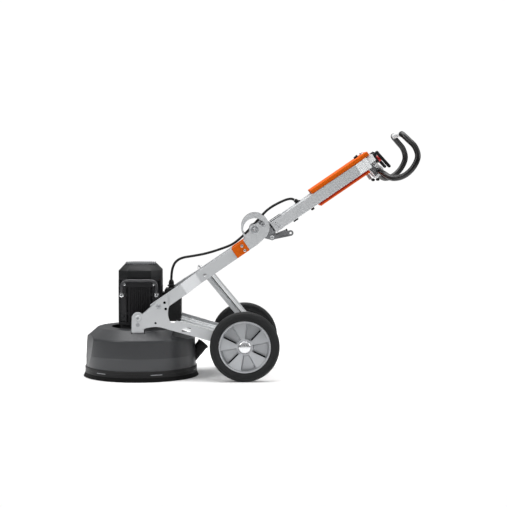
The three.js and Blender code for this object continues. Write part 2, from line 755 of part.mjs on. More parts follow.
function makeClampLever(side) {
  const hub = rod(8, [0, 22], 16).rotateY(Math.PI / 2).translate(1138 + GAP, side * LEVER_Y, LEVER_V);
  const handle = new THREE.Shape([
    new THREE.Vector2(1150, 14), new THREE.Vector2(1148, 4), new THREE.Vector2(1158, -70),
    new THREE.Vector2(1171, -70), new THREE.Vector2(1160, 14),
  ]);
  return join(hub, slab(handle, [side * LEVER_Y - 5.5, side * LEVER_Y + 5.5]));
}

function makeSpeedKnob() {
  const dial = turned([[0, 42 + GAP], [11, 42 + GAP], [10, 50], [8, 51], [0, 51]], 20);
  return join(dial, block([-1.5, 1.5], [2, 10.5], [45, 53])).translate(KNOB_U, 0, 0);
}

function makeStartButton() {
  const profile = [[0, 39], [4, 39], [4, 46], [8, 46], [8, 50], [6, 52], [0, 52]];
  return turned(profile, 16).translate(BUTTON_U, 0, 0);
}

for (const [name, side] of SIDES) {
  add(arm, `upper_rail_${name}`, makeUpperRail(side), SILVER);
  add(arm, `clamp_lever_${name}`, makeClampLever(side), BLACK);
}
add(arm, 'control_cabinet', makeControlCabinet(), SILVER);
add(arm, 'top_cover', makeTopCover(), ORANGE);
add(arm, 'bottom_cover', block([822, 1080], [-108, 108], [-41, RAIL_V[0] - GAP]), DARK_ORANGE);
add(arm, 'upper_gland', makeUpperGland(), BLACK);
add(arm, 'handle_head', makeHandleHead(), BRIGHT);
add(arm, 'control_bar', makeControlBar(), BLACK);
add(arm, 'emergency_stop', makeEmergencyStop(), RED);
add(arm, 'speed_knob', makeSpeedKnob(), BLACK);
add(arm, 'start_button', makeStartButton(), BRIGHT);

// ---------- handlebar ----------

// A point of the arm's frame, given in the grinder's own X and Z.
function fromArm([u, v]) {
  const x = ARM_START.x + u * Math.cos(ARM_ANGLE) - v * Math.sin(ARM_ANGLE);
  const z = ARM_START.z + u * Math.sin(ARM_ANGLE) + v * Math.cos(ARM_ANGLE);
  return [x, z];
}

// One loop, from the clamp out, down and round to the top.
const [CLAMP_X, CLAMP_Z] = fromArm(CLAMP_AXIS);
const LOOP = [
  [CLAMP_X, 0, CLAMP_Z], [CLAMP_X, 35, CLAMP_Z], [CLAMP_X, 70, CLAMP_Z],
  [1060, 115, 892], [1095, 172, 871], [1138, 207, 881], [1175, 221, 915], [1195, 225, 962],
  [1184, 214, 1004], [1158, 195, 1034], [1139, 178, 1054], [1134, 163, 1060], [1134, 150, 1060],
];

function makeHandlebar() {
  const near = LOOP.map(([x, y, z]) => [x, -y, z]).reverse();
  return tube([...near, ...LOOP.slice(1)], HANDLEBAR_RADIUS, 52, 8);
}

add(grinder, 'handlebar', makeHandlebar(), BLACK);
add(grinder, 'handlebar_crossbar', crossRod(10.5, [-150 + 2 * GAP, 150 - 2 * GAP], [1134, 1060]), BRIGHT);

// ---------- wheels ----------

const TYRE_PROFILE = [
  [113, 198], [138, 198], [147, 203], [WHEEL_RADIUS, 213], [WHEEL_RADIUS, 231],
  [147, 241], [138, 246], [113, 246], [113, 198],
];

const HUB_PROFILE = [
  [10 + GAP, 200], [32, 200], [32, 218], [104, 222], [104, 201], [112 - GAP, 201],
  [112 - GAP, 243], [104, 243], [102, 234], [32, 243], [10 + GAP, 243], [10 + GAP, 200],
];

// Turned about Z, then laid over so that the outer face looks away from the machine.
function wheelPiece(profile, side, segments) {
  return turned(profile, segments).rotateX(-side * Math.PI / 2);
}

for (const [name, side] of SIDES) {
  const wheel = new THREE.Group();
  wheel.position.set(AXLE.x, 0, AXLE.z);
  grinder.add(wheel);
  add(wheel, `tyre_${name}`, wheelPiece(TYRE_PROFILE, side, 36), BLACK);
  add(wheel, `wheel_hub_${name}`, wheelPiece(HUB_PROFILE, side, 28), SILVER);
}

// ---------- cable ----------

const CABLE_ROUTE = [
  [134.6, 0, 423], [136.5, 0, 452], [142, 0, 478], [153, 0, 499], [170, 0, 513], [192, 0, 521],
  [222, 0, 526], [285.7, 0, 538], [349, 0, 557], [404, 0, 579], [442.5, 0, 608], [489, 0, 654.5],
  [523, 0, 692.5], [557, 0, 728], [588, 0, 750], [630, 0, 771], [652, 0, 778.5], [668, 0, 779.5],
  [679, 0, 775.2],
];

add(grinder, 'cable', tube(CABLE_ROUTE, CABLE_RADIUS, 32, 8), BLACK);

// ---------- origin under the middle of the machine ----------

grinder.updateMatrixWorld(true);
const reachOfAll = new THREE.Box3().setFromObject(grinder, true);
grinder.position.x = -(reachOfAll.min.x + reachOfAll.max.x) / 2;
grinder.updateMatrixWorld(true);

export default grinder;
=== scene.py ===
"""Looks of a walk-behind concrete floor grinder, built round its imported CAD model.

Pieces are drawn in millimetres, in one of two spaces, and moved into the row frame:
HEAD has X 0 on the axis of the grinding head; ARM has X along the handle and Z across it.
"""

import math
import random

import bmesh
import bpy
from mathutils import Matrix, Vector


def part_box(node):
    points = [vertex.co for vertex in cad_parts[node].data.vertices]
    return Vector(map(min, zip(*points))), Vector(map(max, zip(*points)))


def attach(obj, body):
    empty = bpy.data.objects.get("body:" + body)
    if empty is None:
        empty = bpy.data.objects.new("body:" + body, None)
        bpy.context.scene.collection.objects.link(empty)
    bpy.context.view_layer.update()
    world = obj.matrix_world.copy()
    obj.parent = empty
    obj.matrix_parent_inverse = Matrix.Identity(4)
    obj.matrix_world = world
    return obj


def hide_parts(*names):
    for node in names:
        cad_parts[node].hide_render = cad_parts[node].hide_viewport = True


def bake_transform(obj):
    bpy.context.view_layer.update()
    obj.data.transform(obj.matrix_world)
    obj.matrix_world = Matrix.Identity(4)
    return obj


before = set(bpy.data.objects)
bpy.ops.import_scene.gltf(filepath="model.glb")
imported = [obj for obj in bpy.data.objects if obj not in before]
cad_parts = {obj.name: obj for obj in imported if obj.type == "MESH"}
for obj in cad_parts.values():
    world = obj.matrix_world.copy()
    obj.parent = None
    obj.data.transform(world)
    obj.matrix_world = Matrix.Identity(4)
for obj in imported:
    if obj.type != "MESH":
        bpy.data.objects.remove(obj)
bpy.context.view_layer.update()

SIDES = (("near", -1), ("far", 1))
random.seed(7)


# ---------- the two drawing spaces ----------

ARM_ANGLE = math.radians(34.3)
ARM_START = (89.5, 321.3)
FOLD_PIVOT = (524.8, 36.5)
LOCK_BOLT = (566.3, 36.5)

low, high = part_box("motor_shaft")
HEAD = Matrix.Translation(((low.x + high.x) / 2, 0, 0)) @ Matrix.Scale(0.001, 4)
ARM = HEAD @ Matrix.Translation((ARM_START[0], 0, ARM_START[1])) @ Matrix.Rotation(-ARM_ANGLE, 4, "Y")


# ---------- camera ----------

CAMERA_LENS = 96.77                     # millimetres, on a sensor 36 wide
CAMERA_PLACE = (-0.03, -6.0243, 0.8677)
CAMERA_DOWN = 3.133                     # degrees below the horizon
CAMERA_RIGHT = 0.497                    # degrees to the right of straight across


def make_camera():
    data = bpy.data.cameras.new("camera")
    data.lens = CAMERA_LENS
    data.sensor_width = 36
    camera = bpy.data.objects.new("camera", data)
    camera.location = CAMERA_PLACE
    camera.rotation_euler = (math.radians(90 - CAMERA_DOWN), 0, math.radians(-CAMERA_RIGHT))
    bpy.context.scene.collection.objects.link(camera)
    bpy.context.scene.camera = camera


make_camera()


# ---------- materials ----------

def linear(red, green, blue):
    """A linear colour from sRGB numbers of 0 to 255."""
    def channel(value):
        share = value / 255
        return share / 12.92 if share <= 0.04045 else ((share + 0.055) / 1.055) ** 2.4
    return (channel(red), channel(green), channel(blue), 1)


def noise(nodes, links, coordinates, scale, detail, stretch=(1, 1, 1), turn=(0, 0, 0)):
    """Noise over the object's coordinates, longer where stretch is below 1."""
    mapping = nodes.new("ShaderNodeMapping")
    mapping.inputs["Scale"].default_value = stretch
    mapping.inputs["Rotation"].default_value = turn
    links.new(coordinates, mapping.inputs["Vector"])
    texture = nodes.new("ShaderNodeTexNoise")
    texture.inputs["Scale"].default_value = scale
    texture.inputs["Detail"].default_value = detail
    links.new(mapping.outputs["Vector"], texture.inputs["Vector"])
    return texture.outputs["Fac"]


def ranged(nodes, links, value, low, high, start=0.3, stop=0.7):
    """A value from start to stop, spread over low to high."""
    node = nodes.new("ShaderNodeMapRange")
    node.inputs["From Min"].default_value = start
    node.inputs["From Max"].default_value = stop
    node.inputs["To Min"].default_value = low
    node.inputs["To Max"].default_value = high
    links.new(value, node.inputs["Value"])
    return node.outputs["Result"]


def mixed(nodes, links, factor, first, second):
    """A blend of two colours, each a plain colour or a socket."""
    node = nodes.new("ShaderNodeMix")
    node.data_type = "RGBA"
    links.new(factor, node.inputs["Factor"])
    for socket, colour in ((node.inputs["A"], first), (node.inputs["B"], second)):
        if isinstance(colour, bpy.types.NodeSocket):
            links.new(colour, socket)
        else:
            socket.default_value = colour
    return node.outputs["Result"]


def shade(colour, share):
    """The same colour, darker below a share of 1 and lighter above it."""
    return tuple(min(1, c * share) for c in colour[:3]) + (1,)


def surface(name, colour, roughness, metallic, vary, patch=9, grain=600, bump=0.15, depth=0.0002,
            stretch=(1, 1, 1), turn=(0, 0, 0), coat=0.0, sheen=0.0, edge_scuff_and_highlight=0.0, scuff_and_highlight_colour=None, shine=0.5):
    """A material whose colour, roughness and height vary in patches and in fine grain.

    The colour is sRGB. Sharp edges can be lightened to a paler colour, in patches: partly scuffing, partly
    a painted highlight along the edges.
    """
    colour = linear(*colour)
    material = bpy.data.materials.new(name)
    material.use_nodes = True
    nodes, links = material.node_tree.nodes, material.node_tree.links
    shader = nodes["Principled BSDF"]
    place = nodes.new("ShaderNodeTexCoord").outputs["Object"]
    patches = noise(nodes, links, place, patch, 4)
    fine = noise(nodes, links, place, grain, 2, stretch, turn)
    dark, light = shade(colour, 1 - vary), shade(colour, 1 + vary)
    tint = mixed(nodes, links, ranged(nodes, links, patches, 0, 1), dark, light)
    speckle = ranged(nodes, links, fine, 0, 0.5, 0.35, 0.75)
    tint = mixed(nodes, links, speckle, tint, shade(colour, 1 + 0.6 * vary))
    # Sharp edges lightened in patches: partly scuffing, partly a painted highlight along the edges.
    if edge_scuff_and_highlight:
        edges = nodes.new("ShaderNodeNewGeometry").outputs["Pointiness"]
        scuff_and_highlight_patches = noise(nodes, links, place, 70, 5)
        product = nodes.new("ShaderNodeMath")
        product.operation = "MULTIPLY"
        links.new(ranged(nodes, links, edges, 0, edge_scuff_and_highlight, 0.52, 0.62), product.inputs[0])
        links.new(ranged(nodes, links, scuff_and_highlight_patches, 0, 1, 0.4, 0.6), product.inputs[1])
        scuffed_and_highlit = linear(*scuff_and_highlight_colour) if scuff_and_highlight_colour else shade(colour, 2)
        tint = mixed(nodes, links, product.outputs[0], tint, scuffed_and_highlit)
    links.new(tint, shader.inputs["Base Color"])
    gloss = ranged(nodes, links, patches, roughness * 0.88, min(1, roughness * 1.12))
    links.new(gloss, shader.inputs["Roughness"])
    shader.inputs["Metallic"].default_value = metallic
    shader.inputs["Specular IOR Level"].default_value = shine
    shader.inputs["Coat Weight"].default_value = coat
    shader.inputs["Coat Roughness"].default_value = 0.15
    shader.inputs["Sheen Weight"].default_value = sheen
    height = nodes.new("ShaderNodeBump")
    height.inputs["Strength"].default_value = bump
    height.inputs["Distance"].default_value = depth
    links.new(fine, height.inputs["Height"])
    links.new(height.outputs["Normal"], shader.inputs["Normal"])
    return material


# Brushed along the handle.
ALONG_ARM = {"stretch": (0.03, 1, 1), "turn": (0, ARM_ANGLE, 0)}
SILVER = surface("silver_paint", (186, 188, 190), 0.45, 0.25, 0.015, patch=4, grain=900, bump=0.03)
BRUSHED = surface("brushed_silver", (190, 192, 194), 0.45, 0.2, 0.015, patch=4, grain=500, bump=0.03,
                  **ALONG_ARM)
BRIGHT = surface("bright_aluminium", (236, 238, 239), 0.4, 0.1, 0.01, patch=5, grain=700, bump=0.03)
ZINC = surface("zinc_steel", (158, 160, 163), 0.4, 0.7, 0.06, patch=25, grain=900, bump=0.1, edge_scuff_and_highlight=0.3)
CHROME = surface("bright_zinc", (215, 216, 218), 0.22, 0.9, 0.04, patch=40, grain=1200, bump=0.04)
CHARCOAL = surface("charcoal_paint", (54, 55, 57), 0.36, 0.1, 0.05, patch=5, grain=1500, bump=0.12,
                   edge_scuff_and_highlight=0.3, shine=0.35)
COVER_PAINT = surface("fan_cover_paint", (25, 26, 27), 0.45, 0.05, 0.06, grain=1400, bump=0.15, edge_scuff_and_highlight=0.3,
                      shine=0.2)
LEVER_CAST = surface("lever_casting", (112, 113, 115), 0.45, 0.4, 0.08, patch=30, grain=900, bump=0.3,
                     edge_scuff_and_highlight=0.4)
CASTING = surface("motor_casting", (31, 31, 33), 0.5, 0.05, 0.12, patch=20, grain=700, bump=0.25,
                  depth=0.0003, edge_scuff_and_highlight=0.2, shine=0.25)
BLACK_PAINT = surface("black_paint", (26, 26, 27), 0.4, 0.05, 0.1, grain=1300, bump=0.12, edge_scuff_and_highlight=0.2,
                      shine=0.3)
BOW_PAINT = surface("bow_paint", (58, 58, 60), 0.3, 0.2, 0.08, grain=1300, bump=0.1, edge_scuff_and_highlight=0.3)
PLASTIC = surface("black_plastic", (18, 18, 19), 0.45, 0, 0.1, grain=1500, bump=0.15, shine=0.25)
BRISTLE = surface("brush_fibre", (12, 12, 12), 0.8, 0, 0.5, patch=60, grain=700, bump=0.8, depth=0.001,
                  stretch=(1, 1, 0.03), sheen=0.05, shine=0.1)
ORANGE = surface("orange_plastic", (204, 88, 4), 0.6, 0, 0.03, patch=6, grain=1600, bump=0.04, shine=0.1)
SLEEVE = surface("sleeve_plastic", (200, 88, 4), 0.6, 0, 0.04, patch=8, grain=1600, bump=0.08, shine=0.12)
DARK_ORANGE = surface("dark_orange_plastic", (204, 78, 14), 0.45, 0, 0.05, patch=8, grain=1600, bump=0.08,
                      shine=0.2)
# Painted shade: a darker red copy of the bottom cover's orange, for its upper band under the rails.
SHADED_COVER_RED = surface("cover_plastic_painted_shade", (172, 30, 12), 0.5, 0, 0.05, patch=8, grain=1600, bump=0.08,
                   shine=0.15)
STEEL = surface("gear_steel", (140, 141, 144), 0.35, 0.85, 0.1, patch=30, grain=800, bump=0.15)
DIAMOND = surface("diamond_segment", (96, 92, 86), 0.7, 0.5, 0.2, patch=90, grain=2500, bump=0.8)
GRIP = surface("grip_foam", (9, 9, 10), 0.33, 0, 0.08, patch=30, grain=1800, bump=0.1, shine=0.45)
# The tyre's edges are lightened to a grey: partly scuffing, partly a painted highlight along the tread's
# edge.
RUBBER = surface("tyre_rubber", (24, 25, 26), 0.6, 0, 0.1, patch=15, grain=1500, bump=0.25, edge_scuff_and_highlight=0.2,
                 scuff_and_highlight_colour=(60, 60, 62), shine=0.25)
ALLOY = surface("wheel_casting", (166, 168, 171), 0.42, 0.5, 0.04, patch=35, grain=650, bump=0.25,
                edge_scuff_and_highlight=0.5)
RED = surface("red_plastic", (172, 12, 14), 0.35, 0, 0.06, patch=30, grain=1500, bump=0.06, coat=0.2,
              shine=0.3)
YELLOW = surface("yellow_plastic", (214, 168, 30), 0.4, 0, 0.06, patch=30, grain=1500, bump=0.06)
LENS = surface("clear_plastic", (222, 226, 228), 0.18, 0, 0.03, patch=30, grain=900, bump=0.04, coat=0.5)
SHEATH = surface("cable_sheath", (16, 16, 17), 0.45, 0, 0.12, patch=30, grain=1200, bump=0.12, shine=0.3)
BAND_PAINT = surface("band_paint", (64, 65, 67), 0.36, 0.1, 0.04, patch=5, grain=1500, bump=0.12,
                     shine=0.35)
# Black that stands for painted shade, in holes of the side plates and along walls of the wheel hubs.
HOLE_SHADE = surface("painted_hole_shade", (10, 10, 11), 0.9, 0, 0.2, grain=900, bump=0.2, shine=0.1)


# ---------- solids, as bmesh in millimetres ----------

def solid_from(vertices, faces):
    solid = bmesh.new()
    made = [solid.verts.new(v) for v in vertices]
    for face in faces:
        solid.faces.new([made[i] for i in face])
    return solid


def box(x, y, z):
    """A block from its two ends along each axis."""
    corners = [(a, b, c) for a in x for b in y for c in z]
    faces = [(0, 1, 3, 2), (4, 6, 7, 5), (0, 4, 5, 1), (2, 3, 7, 6), (0, 2, 6, 4), (1, 5, 7, 3)]
    return solid_from(corners, faces)


def reach(side, inner, outer):
    """A stretch along Y on one side of the middle."""
    return (inner, outer) if side > 0 else (-outer, -inner)


def revolve(profile, segments=96):
    """Points of (radius, height) turned about Z, as a closed ring unless they start on the axis."""
    solid = bmesh.new()
    loops = []
    for radius, height in profile:
        if radius < 1e-6:
            loops.append([solid.verts.new((0, 0, height))])
            continue
        turns = [2 * math.pi * i / segments for i in range(segments)]
        loops.append([solid.verts.new((radius * math.cos(t), radius * math.sin(t), height))
                      for t in turns])
    closed = profile[0][0] > 1e-6
    pairs = list(zip(loops, loops[1:] + loops[:1] if closed else loops[1:]))
    for first, second in pairs:
        for i in range(segments):
            j = (i + 1) % segments
            corners = [first[i % len(first)], first[j % len(first)]]
            corners += [second[j % len(second)], second[i % len(second)]]
            unique = list(dict.fromkeys(corners))
            if len(unique) > 2:
                solid.faces.new(unique)
    return solid


def cylinder(radius, z, segments):
    return revolve([(0, z[0]), (radius, z[0]), (radius, z[1]), (0, z[1])], segments)


def arc(x, z, radius, start, stop, steps=16):
    """Points round a centre, from one angle to another, in degrees."""
    angles = [math.radians(start + (stop - start) * i / steps) for i in range(steps + 1)]
    return [(x + radius * math.cos(a), z + radius * math.sin(a)) for a in angles]


def bend(start, control, stop, steps=10):
    """Points of a quadratic curve, without its first one."""
    points = []
    for i in range(1, steps + 1):
        t = i / steps
        weights = ((1 - t) ** 2, 2 * t * (1 - t), t * t)
        points.append(tuple(sum(w * p[k] for w, p in zip(weights, (start, control, stop)))
                            for k in (0, 1)))
    return points


def circle(x, z, radius, steps=32):
    return arc(x, z, radius, 0, 360, steps)[:-1]


def rounded(x0, x1, z0, z1, radius):
    """The outline of a rectangle with round corners."""
    corners = ((x1, z0, -90), (x1, z1, 0), (x0, z1, 90), (x0, z0, 180))
    points = []
    for x, z, start in corners:
        centre = (x - math.copysign(radius, x - (x0 + x1) / 2),
                  z - math.copysign(radius, z - (z0 + z1) / 2))
        points += arc(*centre, radius, start, start + 90, 6)
    return points


def slab(outline, y, holes=()):
    """An outline drawn in X and Z, with a thickness along Y."""
    solid = bmesh.new()
    edges = []
    for loop in (outline, *holes):
        kept = [p for i, p in enumerate(loop) if math.dist(p, loop[i - 1]) > 1e-3]
        made = [solid.verts.new((px, y[0], pz)) for px, pz in kept]
        edges += [solid.edges.new((a, b)) for a, b in zip(made, made[1:] + made[:1])]
    faces = [f for f in bmesh.ops.triangle_fill(solid, edges=edges, use_beauty=True)["geom"]
             if isinstance(f, bmesh.types.BMFace)]
    grown = bmesh.ops.extrude_face_region(solid, geom=faces)["geom"]
    moved = [v for v in grown if isinstance(v, bmesh.types.BMVert)]
    bmesh.ops.translate(solid, verts=moved, vec=(0, y[1] - y[0], 0))
    return solid


def column(outline, z):
    """An outline drawn in X and Y, with a height along Z."""
    return turned(slab([(x, -y) for x, y in outline], z), "X", 90)


def bar(outline, x):
    """An outline drawn in Y and Z, with a length along X."""
    return turned(slab(outline, (-x[1], -x[0])), "Z", 90)


def wall_faces(rows, count):
    """The four-sided faces between closed rows of points, each row of the same count."""
    return [(r * count + k, r * count + (k + 1) % count, (r + 1) * count + (k + 1) % count,
             (r + 1) * count + k)
            for r in range(rows - 1) for k in range(count)]


def loft(levels):
    """Outlines of the same number of points, each at its height, joined into one closed solid."""
    count = len(levels[0][1])
    vertices = [(x, y, z) for z, outline in levels for x, y in outline]
    caps = [range(count), range(len(vertices) - count, len(vertices))]
    return solid_from(vertices, wall_faces(len(levels), count) + caps)


def turned(solid, axis, degrees):
    solid.transform(Matrix.Rotation(math.radians(degrees), 4, axis))
    return solid


def moved(solid, x=0, y=0, z=0):
    solid.transform(Matrix.Translation((x, y, z)))
    return solid


def along_x(solid, x, y, z):
    """A solid turned about Z is laid over to point along X, its Z 0 at x."""
    return moved(turned(solid, "Y", 90), x, y, z)


def along_y(solid, side, x, z, y=0):
    """A solid turned about Z is laid over to point outwards on one side, its Z 0 at distance y."""
    turned(solid, "X", -90 if side > 0 else 90)
    return moved(solid, x, side * y, z)


def together(*solids):
    """Several solids as one mesh, each still closed."""
    whole = bmesh.new()
    for solid in solids:
        spare = bpy.data.meshes.new("spare")
        solid.to_mesh(spare)
        whole.from_mesh(spare)
        bpy.data.meshes.remove(spare)
        solid.free()
    return whole


def between(p, q, t, start, stop):
    """The point on the line from p, at start, to q, at stop."""
    share = (t - start) / (stop - start)
    return p * (1 - share) + q * share


def smooth_path(points, steps=8):
    """A centripetal Catmull-Rom curve through all the points."""
    points = [Vector(p) for p in points]
    ends = [points[0] * 2 - points[1], *points, points[-1] * 2 - points[-2]]
    path = [points[0]]
    for a, b, c, d in zip(ends, ends[1:], ends[2:], ends[3:]):
        tb = (b - a).length ** 0.5
        tc = tb + (c - b).length ** 0.5
        td = tc + (d - c).length ** 0.5
        for i in range(1, steps + 1):
            t = tb + (tc - tb) * i / steps
            ab, bc, cd = between(a, b, t, 0, tb), between(b, c, t, tb, tc), between(c, d, t, tc, td)
            path.append(between(between(ab, bc, t, 0, tc), between(bc, cd, t, tb, td), t, tb, tc))
    return path


def tube(path, radius, sides):
    """A round bar along a path."""
    path = [Vector(p) for p in path]
    turns = [2 * math.pi * k / sides for k in range(sides)]
    direction = (path[1] - path[0]).normalized()
    normal = direction.orthogonal().normalized()
    rings = []
    for i, point in enumerate(path):
        ahead = (path[min(i + 1, len(path) - 1)] - path[max(i - 1, 0)]).normalized()
        normal = direction.rotation_difference(ahead) @ normal
        direction = ahead
        other = direction.cross(normal)
        rings.append([point + radius * (math.cos(t) * normal + math.sin(t) * other) for t in turns])
    vertices = [v for ring in rings for v in ring]
    caps = [range(sides), range(len(vertices) - sides, len(vertices))]
    return solid_from(vertices, wall_faces(len(rings), sides) + caps)


def carve(solid, *tools, operation="DIFFERENCE"):
    """Cuts solids away from a solid, or joins them to it."""
    target = object_from("carved", solid)
    for tool in tools:
        cutter = object_from("cutter", tool)
        modifier = target.modifiers.new("carve", "BOOLEAN")
        modifier.operation = operation
        modifier.solver = "EXACT"
        modifier.object = cutter
        graph = bpy.context.evaluated_depsgraph_get()
        result = bpy.data.meshes.new_from_object(target.evaluated_get(graph))
        target.modifiers.clear()
        target.data = result
        bpy.data.objects.remove(cutter)
    carved = bmesh.new()
    carved.from_mesh(target.data)
    bpy.data.objects.remove(target)
    return carved


def object_from(name, solid):
    """A Blender object made of a solid, its faces turned outwards."""
    bmesh.ops.recalc_face_normals(solid, faces=solid.faces)
    mesh = bpy.data.meshes.new(name)
    solid.to_mesh(mesh)
    solid.free()
    made = bpy.data.objects.new(name, mesh)
    bpy.context.scene.collection.objects.link(made)
    return made


def piece(name, solid, material, body="chassis", space=HEAD, replaces=(), slot=None, bevel=0.6, smooth=35):
    """Finishes a solid as a piece that rides on a body, unless the body is None.

    Its slot argument is not used.
    """
    solid.transform(space)
    made = object_from(name, solid)
    made.data.materials.append(material)
    made.data.shade_smooth()
    made.data.set_sharp_from_angle(angle=math.radians(smooth))
    if bevel:
        modifier = made.modifiers.new("edges", "BEVEL")
        modifier.width = bevel / 1000
        modifier.segments = 2
        modifier.limit_method = "ANGLE"
        modifier.angle_limit = math.radians(38)
        modifier.harden_normals = True
    if body:
        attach(made, body)
    if replaces:
        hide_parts(*replaces)
    return made


def handle_piece(name, solid, material, replaces=(), **finish):
    """A piece drawn along the handle that rides on its upper part."""
    return piece(name, solid, material, "upper_handle", ARM, replaces, **finish)


# ---------- fasteners ----------

def hex_head(radius, height):
    """A hexagon head with a chamfered top, standing on Z 0."""
    chamfer = revolve([(radius * 0.9, height + 3), (radius * 0.9, height),
                       (radius * 1.3, height - radius * 0.25), (radius * 1.3, height + 3)], 48)
    return carve(column(circle(0, 0, radius, 6), (0, height)), chamfer)


def socket_head(radius, height):
    """A rounded button head with a hexagon socket, standing on Z 0."""
    dome = revolve([(0, 0), (radius, 0), (radius, height * 0.35), (radius * 0.86, height * 0.8),
                    (radius * 0.62, height), (0, height)], 40)
    return carve(dome, column(circle(0, 0, radius * 0.45, 6), (height * 0.35, height + 2)))


def pan_head(radius, height):
    """A domed screw head with a cross recess."""
    dome = revolve([(0, 0), (radius, 0), (radius * 0.93, height * 0.55), (radius * 0.65, height * 0.9),
                    (0, height)], 32)
    long, thin = (-radius * 0.5, radius * 0.5), (-radius * 0.1, radius * 0.1)
    deep = (height * 0.45, height + 2)
    return carve(dome, box(long, thin, deep), box(thin, long, deep))


# ---------- cable ----------

CABLE_RADIUS = 0.0055                   # metres
LOWER_GLAND_X = 134.6
GLAND_U = 750                           # the upper gland's place along the handle
GLAND_LEAN = 25
CABLE_ROUTE = [                         # from the lower gland to the upper one, in HEAD
    (134.6, 0, 423), (136.5, 0, 452), (142, 0, 478), (153, 0, 499), (170, 0, 513), (192, 0, 521),
    (222, 0, 526), (285.7, 0, 538), (349, 0, 557), (404, 0, 579), (442.5, 0, 608), (489, 0, 654.5),
    (523, 0, 692.5), (557, 0, 728), (588, 0, 750), (630, 0, 771), (652, 0, 778.5), (668, 0, 779.5),
    (679, 0, 775.2),
]


def make_glands():
    """The cable's two ribbed glands."""
    lower = revolve([(0, 385.3), (13, 385.3), (13, 389), (11.5, 390.5), (11.5, 393), (14.5, 393),
                     (14.5, 400), (11, 401.5), (11, 414), (9.5, 418), (7, 422.5), (0, 422.5)], 40)
    ribs = [turned(box((10.6, 11.8), (-1, 1), (402, 413)), "Z", 30 * i) for i in range(12)]
    lock = column(circle(0, 0, 17, 6), (393.5, 399.5))
    lower = moved(together(lower, lock, *ribs), LOWER_GLAND_X)
    low_piece = piece("lower_gland_body", lower, PLASTIC, replaces=["lower_gland"])
    foot = moved(column(circle(0, 0, 13, 6), (24.3, 30)), GLAND_U)
    nut = revolve([(0, 0), (9, 0), (9, 11), (7, 16), (0, 16)], 32)
    ribs = [turned(box((8.6, 9.7), (-0.9, 0.9), (5, 10)), "Z", 36 * i) for i in range(10)]
    nut = moved(turned(together(nut, *ribs), "Y", -GLAND_LEAN), GLAND_U, 0, 27)
    nut = carve(nut, box((720, 790), (-20, 20), (0, 24.3)))
    high_piece = handle_piece("upper_gland_body", together(foot, nut), PLASTIC, ["upper_gland"])
    return [low_piece, high_piece]


def make_cable():
    """The one cord: both its ends are on the machine."""
    path = [HEAD @ p for p in smooth_path(CABLE_ROUTE)]
    cable = piece("power_cable", tube(path, CABLE_RADIUS, 24), SHEATH, None, Matrix.Identity(4), ["cable"],
                  bevel=0)
    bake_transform(cable)
    make_glands()


make_cable()


# ---------- grinding head ----------

SHROUD_WALL = 4
SHROUD_TOP = 217
NOSE_TURN = 17                          # how far each facet of the nose turns from the middle
PORT_LEAN = 40
TRUNNION_Z = 270


def refined(profile, step=12):
    """The same profile with a point at least every step millimetres."""
    points = [profile[0]]
    for a, b in zip(profile, profile[1:]):
        parts = max(1, int(math.dist(a, b) / step))
        points += [tuple(a[k] + (b[k] - a[k]) * i / parts for k in (0, 1)) for i in range(1, parts + 1)]
    return points


def nose_facet(side, grow):
    """What is cut away in front of one flat facet of the nose, set back by grow."""
    lean = math.degrees(math.atan2(12, 110))
    tool = turned(box((0, 80), (-200, 200), (-130, 130)), "Y", -lean)
    return turned(moved(tool, 228.5 + grow, 0, 165), "Z", 180 + side * NOSE_TURN)


def ramp_cut(grow):
    """What is cut away above the shroud's sloping rear."""
    slope = math.degrees(math.atan2(18, 63))
    return moved(turned(box((0, 140), (-300, 300), (0, 80)), "Y", slope), 145, 0, 192 + grow)


def shroud_body(grow):
    """The solid outline of the shroud, larger by grow."""
    side = [(242, 36.5), (242, 98), *arc(225.2, 168, 14, 0, 41, 6)]
    top = [(196, 211.5), (191, 215), (184, SHROUD_TOP)]
    profile = [(0, 36.5), *refined([(r + grow, z) for r, z in side]),
               *refined([(r + grow, z + grow) for r, z in top], 30), (0, SHROUD_TOP + grow)]
    return carve(revolve(profile, 144), nose_facet(-1, grow), nose_facet(1, grow), ramp_cut(grow))


def shroud_room():
    """The hollow inside the shroud."""
    inside = revolve([(0, 30), (238, 30), (238, 98), (235.5, 163), (186, 213), (0, 213)], 96)
    return carve(inside, nose_facet(-1, -SHROUD_WALL), nose_facet(1, -SHROUD_WALL), ramp_cut(-SHROUD_WALL))


def on_port_axis(solid):
    return moved(turned(solid, "Y", PORT_LEAN), 236, 0, 92)


def make_shroud():
    slots = [box((-29.5, 29.5), reach(side, 173.5, 203), (195, 240)) for _, side in SIDES]
    port_hole = on_port_axis(cylinder(20, (-40, 30), 40))
    neck = cylinder(130, (190, 240), 96)
    shell = carve(shroud_body(0), shroud_room(), neck, *slots, port_hole)
    piece("shroud_shell", shell, CHARCOAL, replaces=["shroud"], bevel=0.8, smooth=8)
    port_room = on_port_axis(cylinder(27, (-45, 70), 40))
    band = revolve([(240, 38), (242.4, 38), (242.4, 97), (242, 98), (240, 98)], 144)
    band = carve(band, nose_facet(-1, 0.4), nose_facet(1, 0.4), port_room)
    piece("shroud_band", band, BAND_PAINT, bevel=0, smooth=8)
    collar = revolve([(130.3, 205), (133, 205), (133, 213), (130.3, 213)], 96)
    piece("neck_seal", collar, PLASTIC, bevel=0.5)
    pipe = revolve([(22, -45), (25, -45), (25, 18), (26.2, 20), (26.2, 23), (25, 25), (25, 54), (27.5, 57),
                    (27.5, 60.5), (25.5, 64), (22, 64)], 64)
    port = carve(on_port_axis(pipe), shroud_body(0.3), cylinder(245, (0, 36.6), 64))
    piece("dust_port_pipe", port, PLASTIC, replaces=["dust_port"], bevel=0.4)


def arc_strip(inner, outer, z, start, stop):
    """A strip of a ring, from one angle to another."""
    outline = arc(0, 0, outer, start, stop, 10) + arc(0, 0, inner, stop, start, 10)
    return column(outline, z)


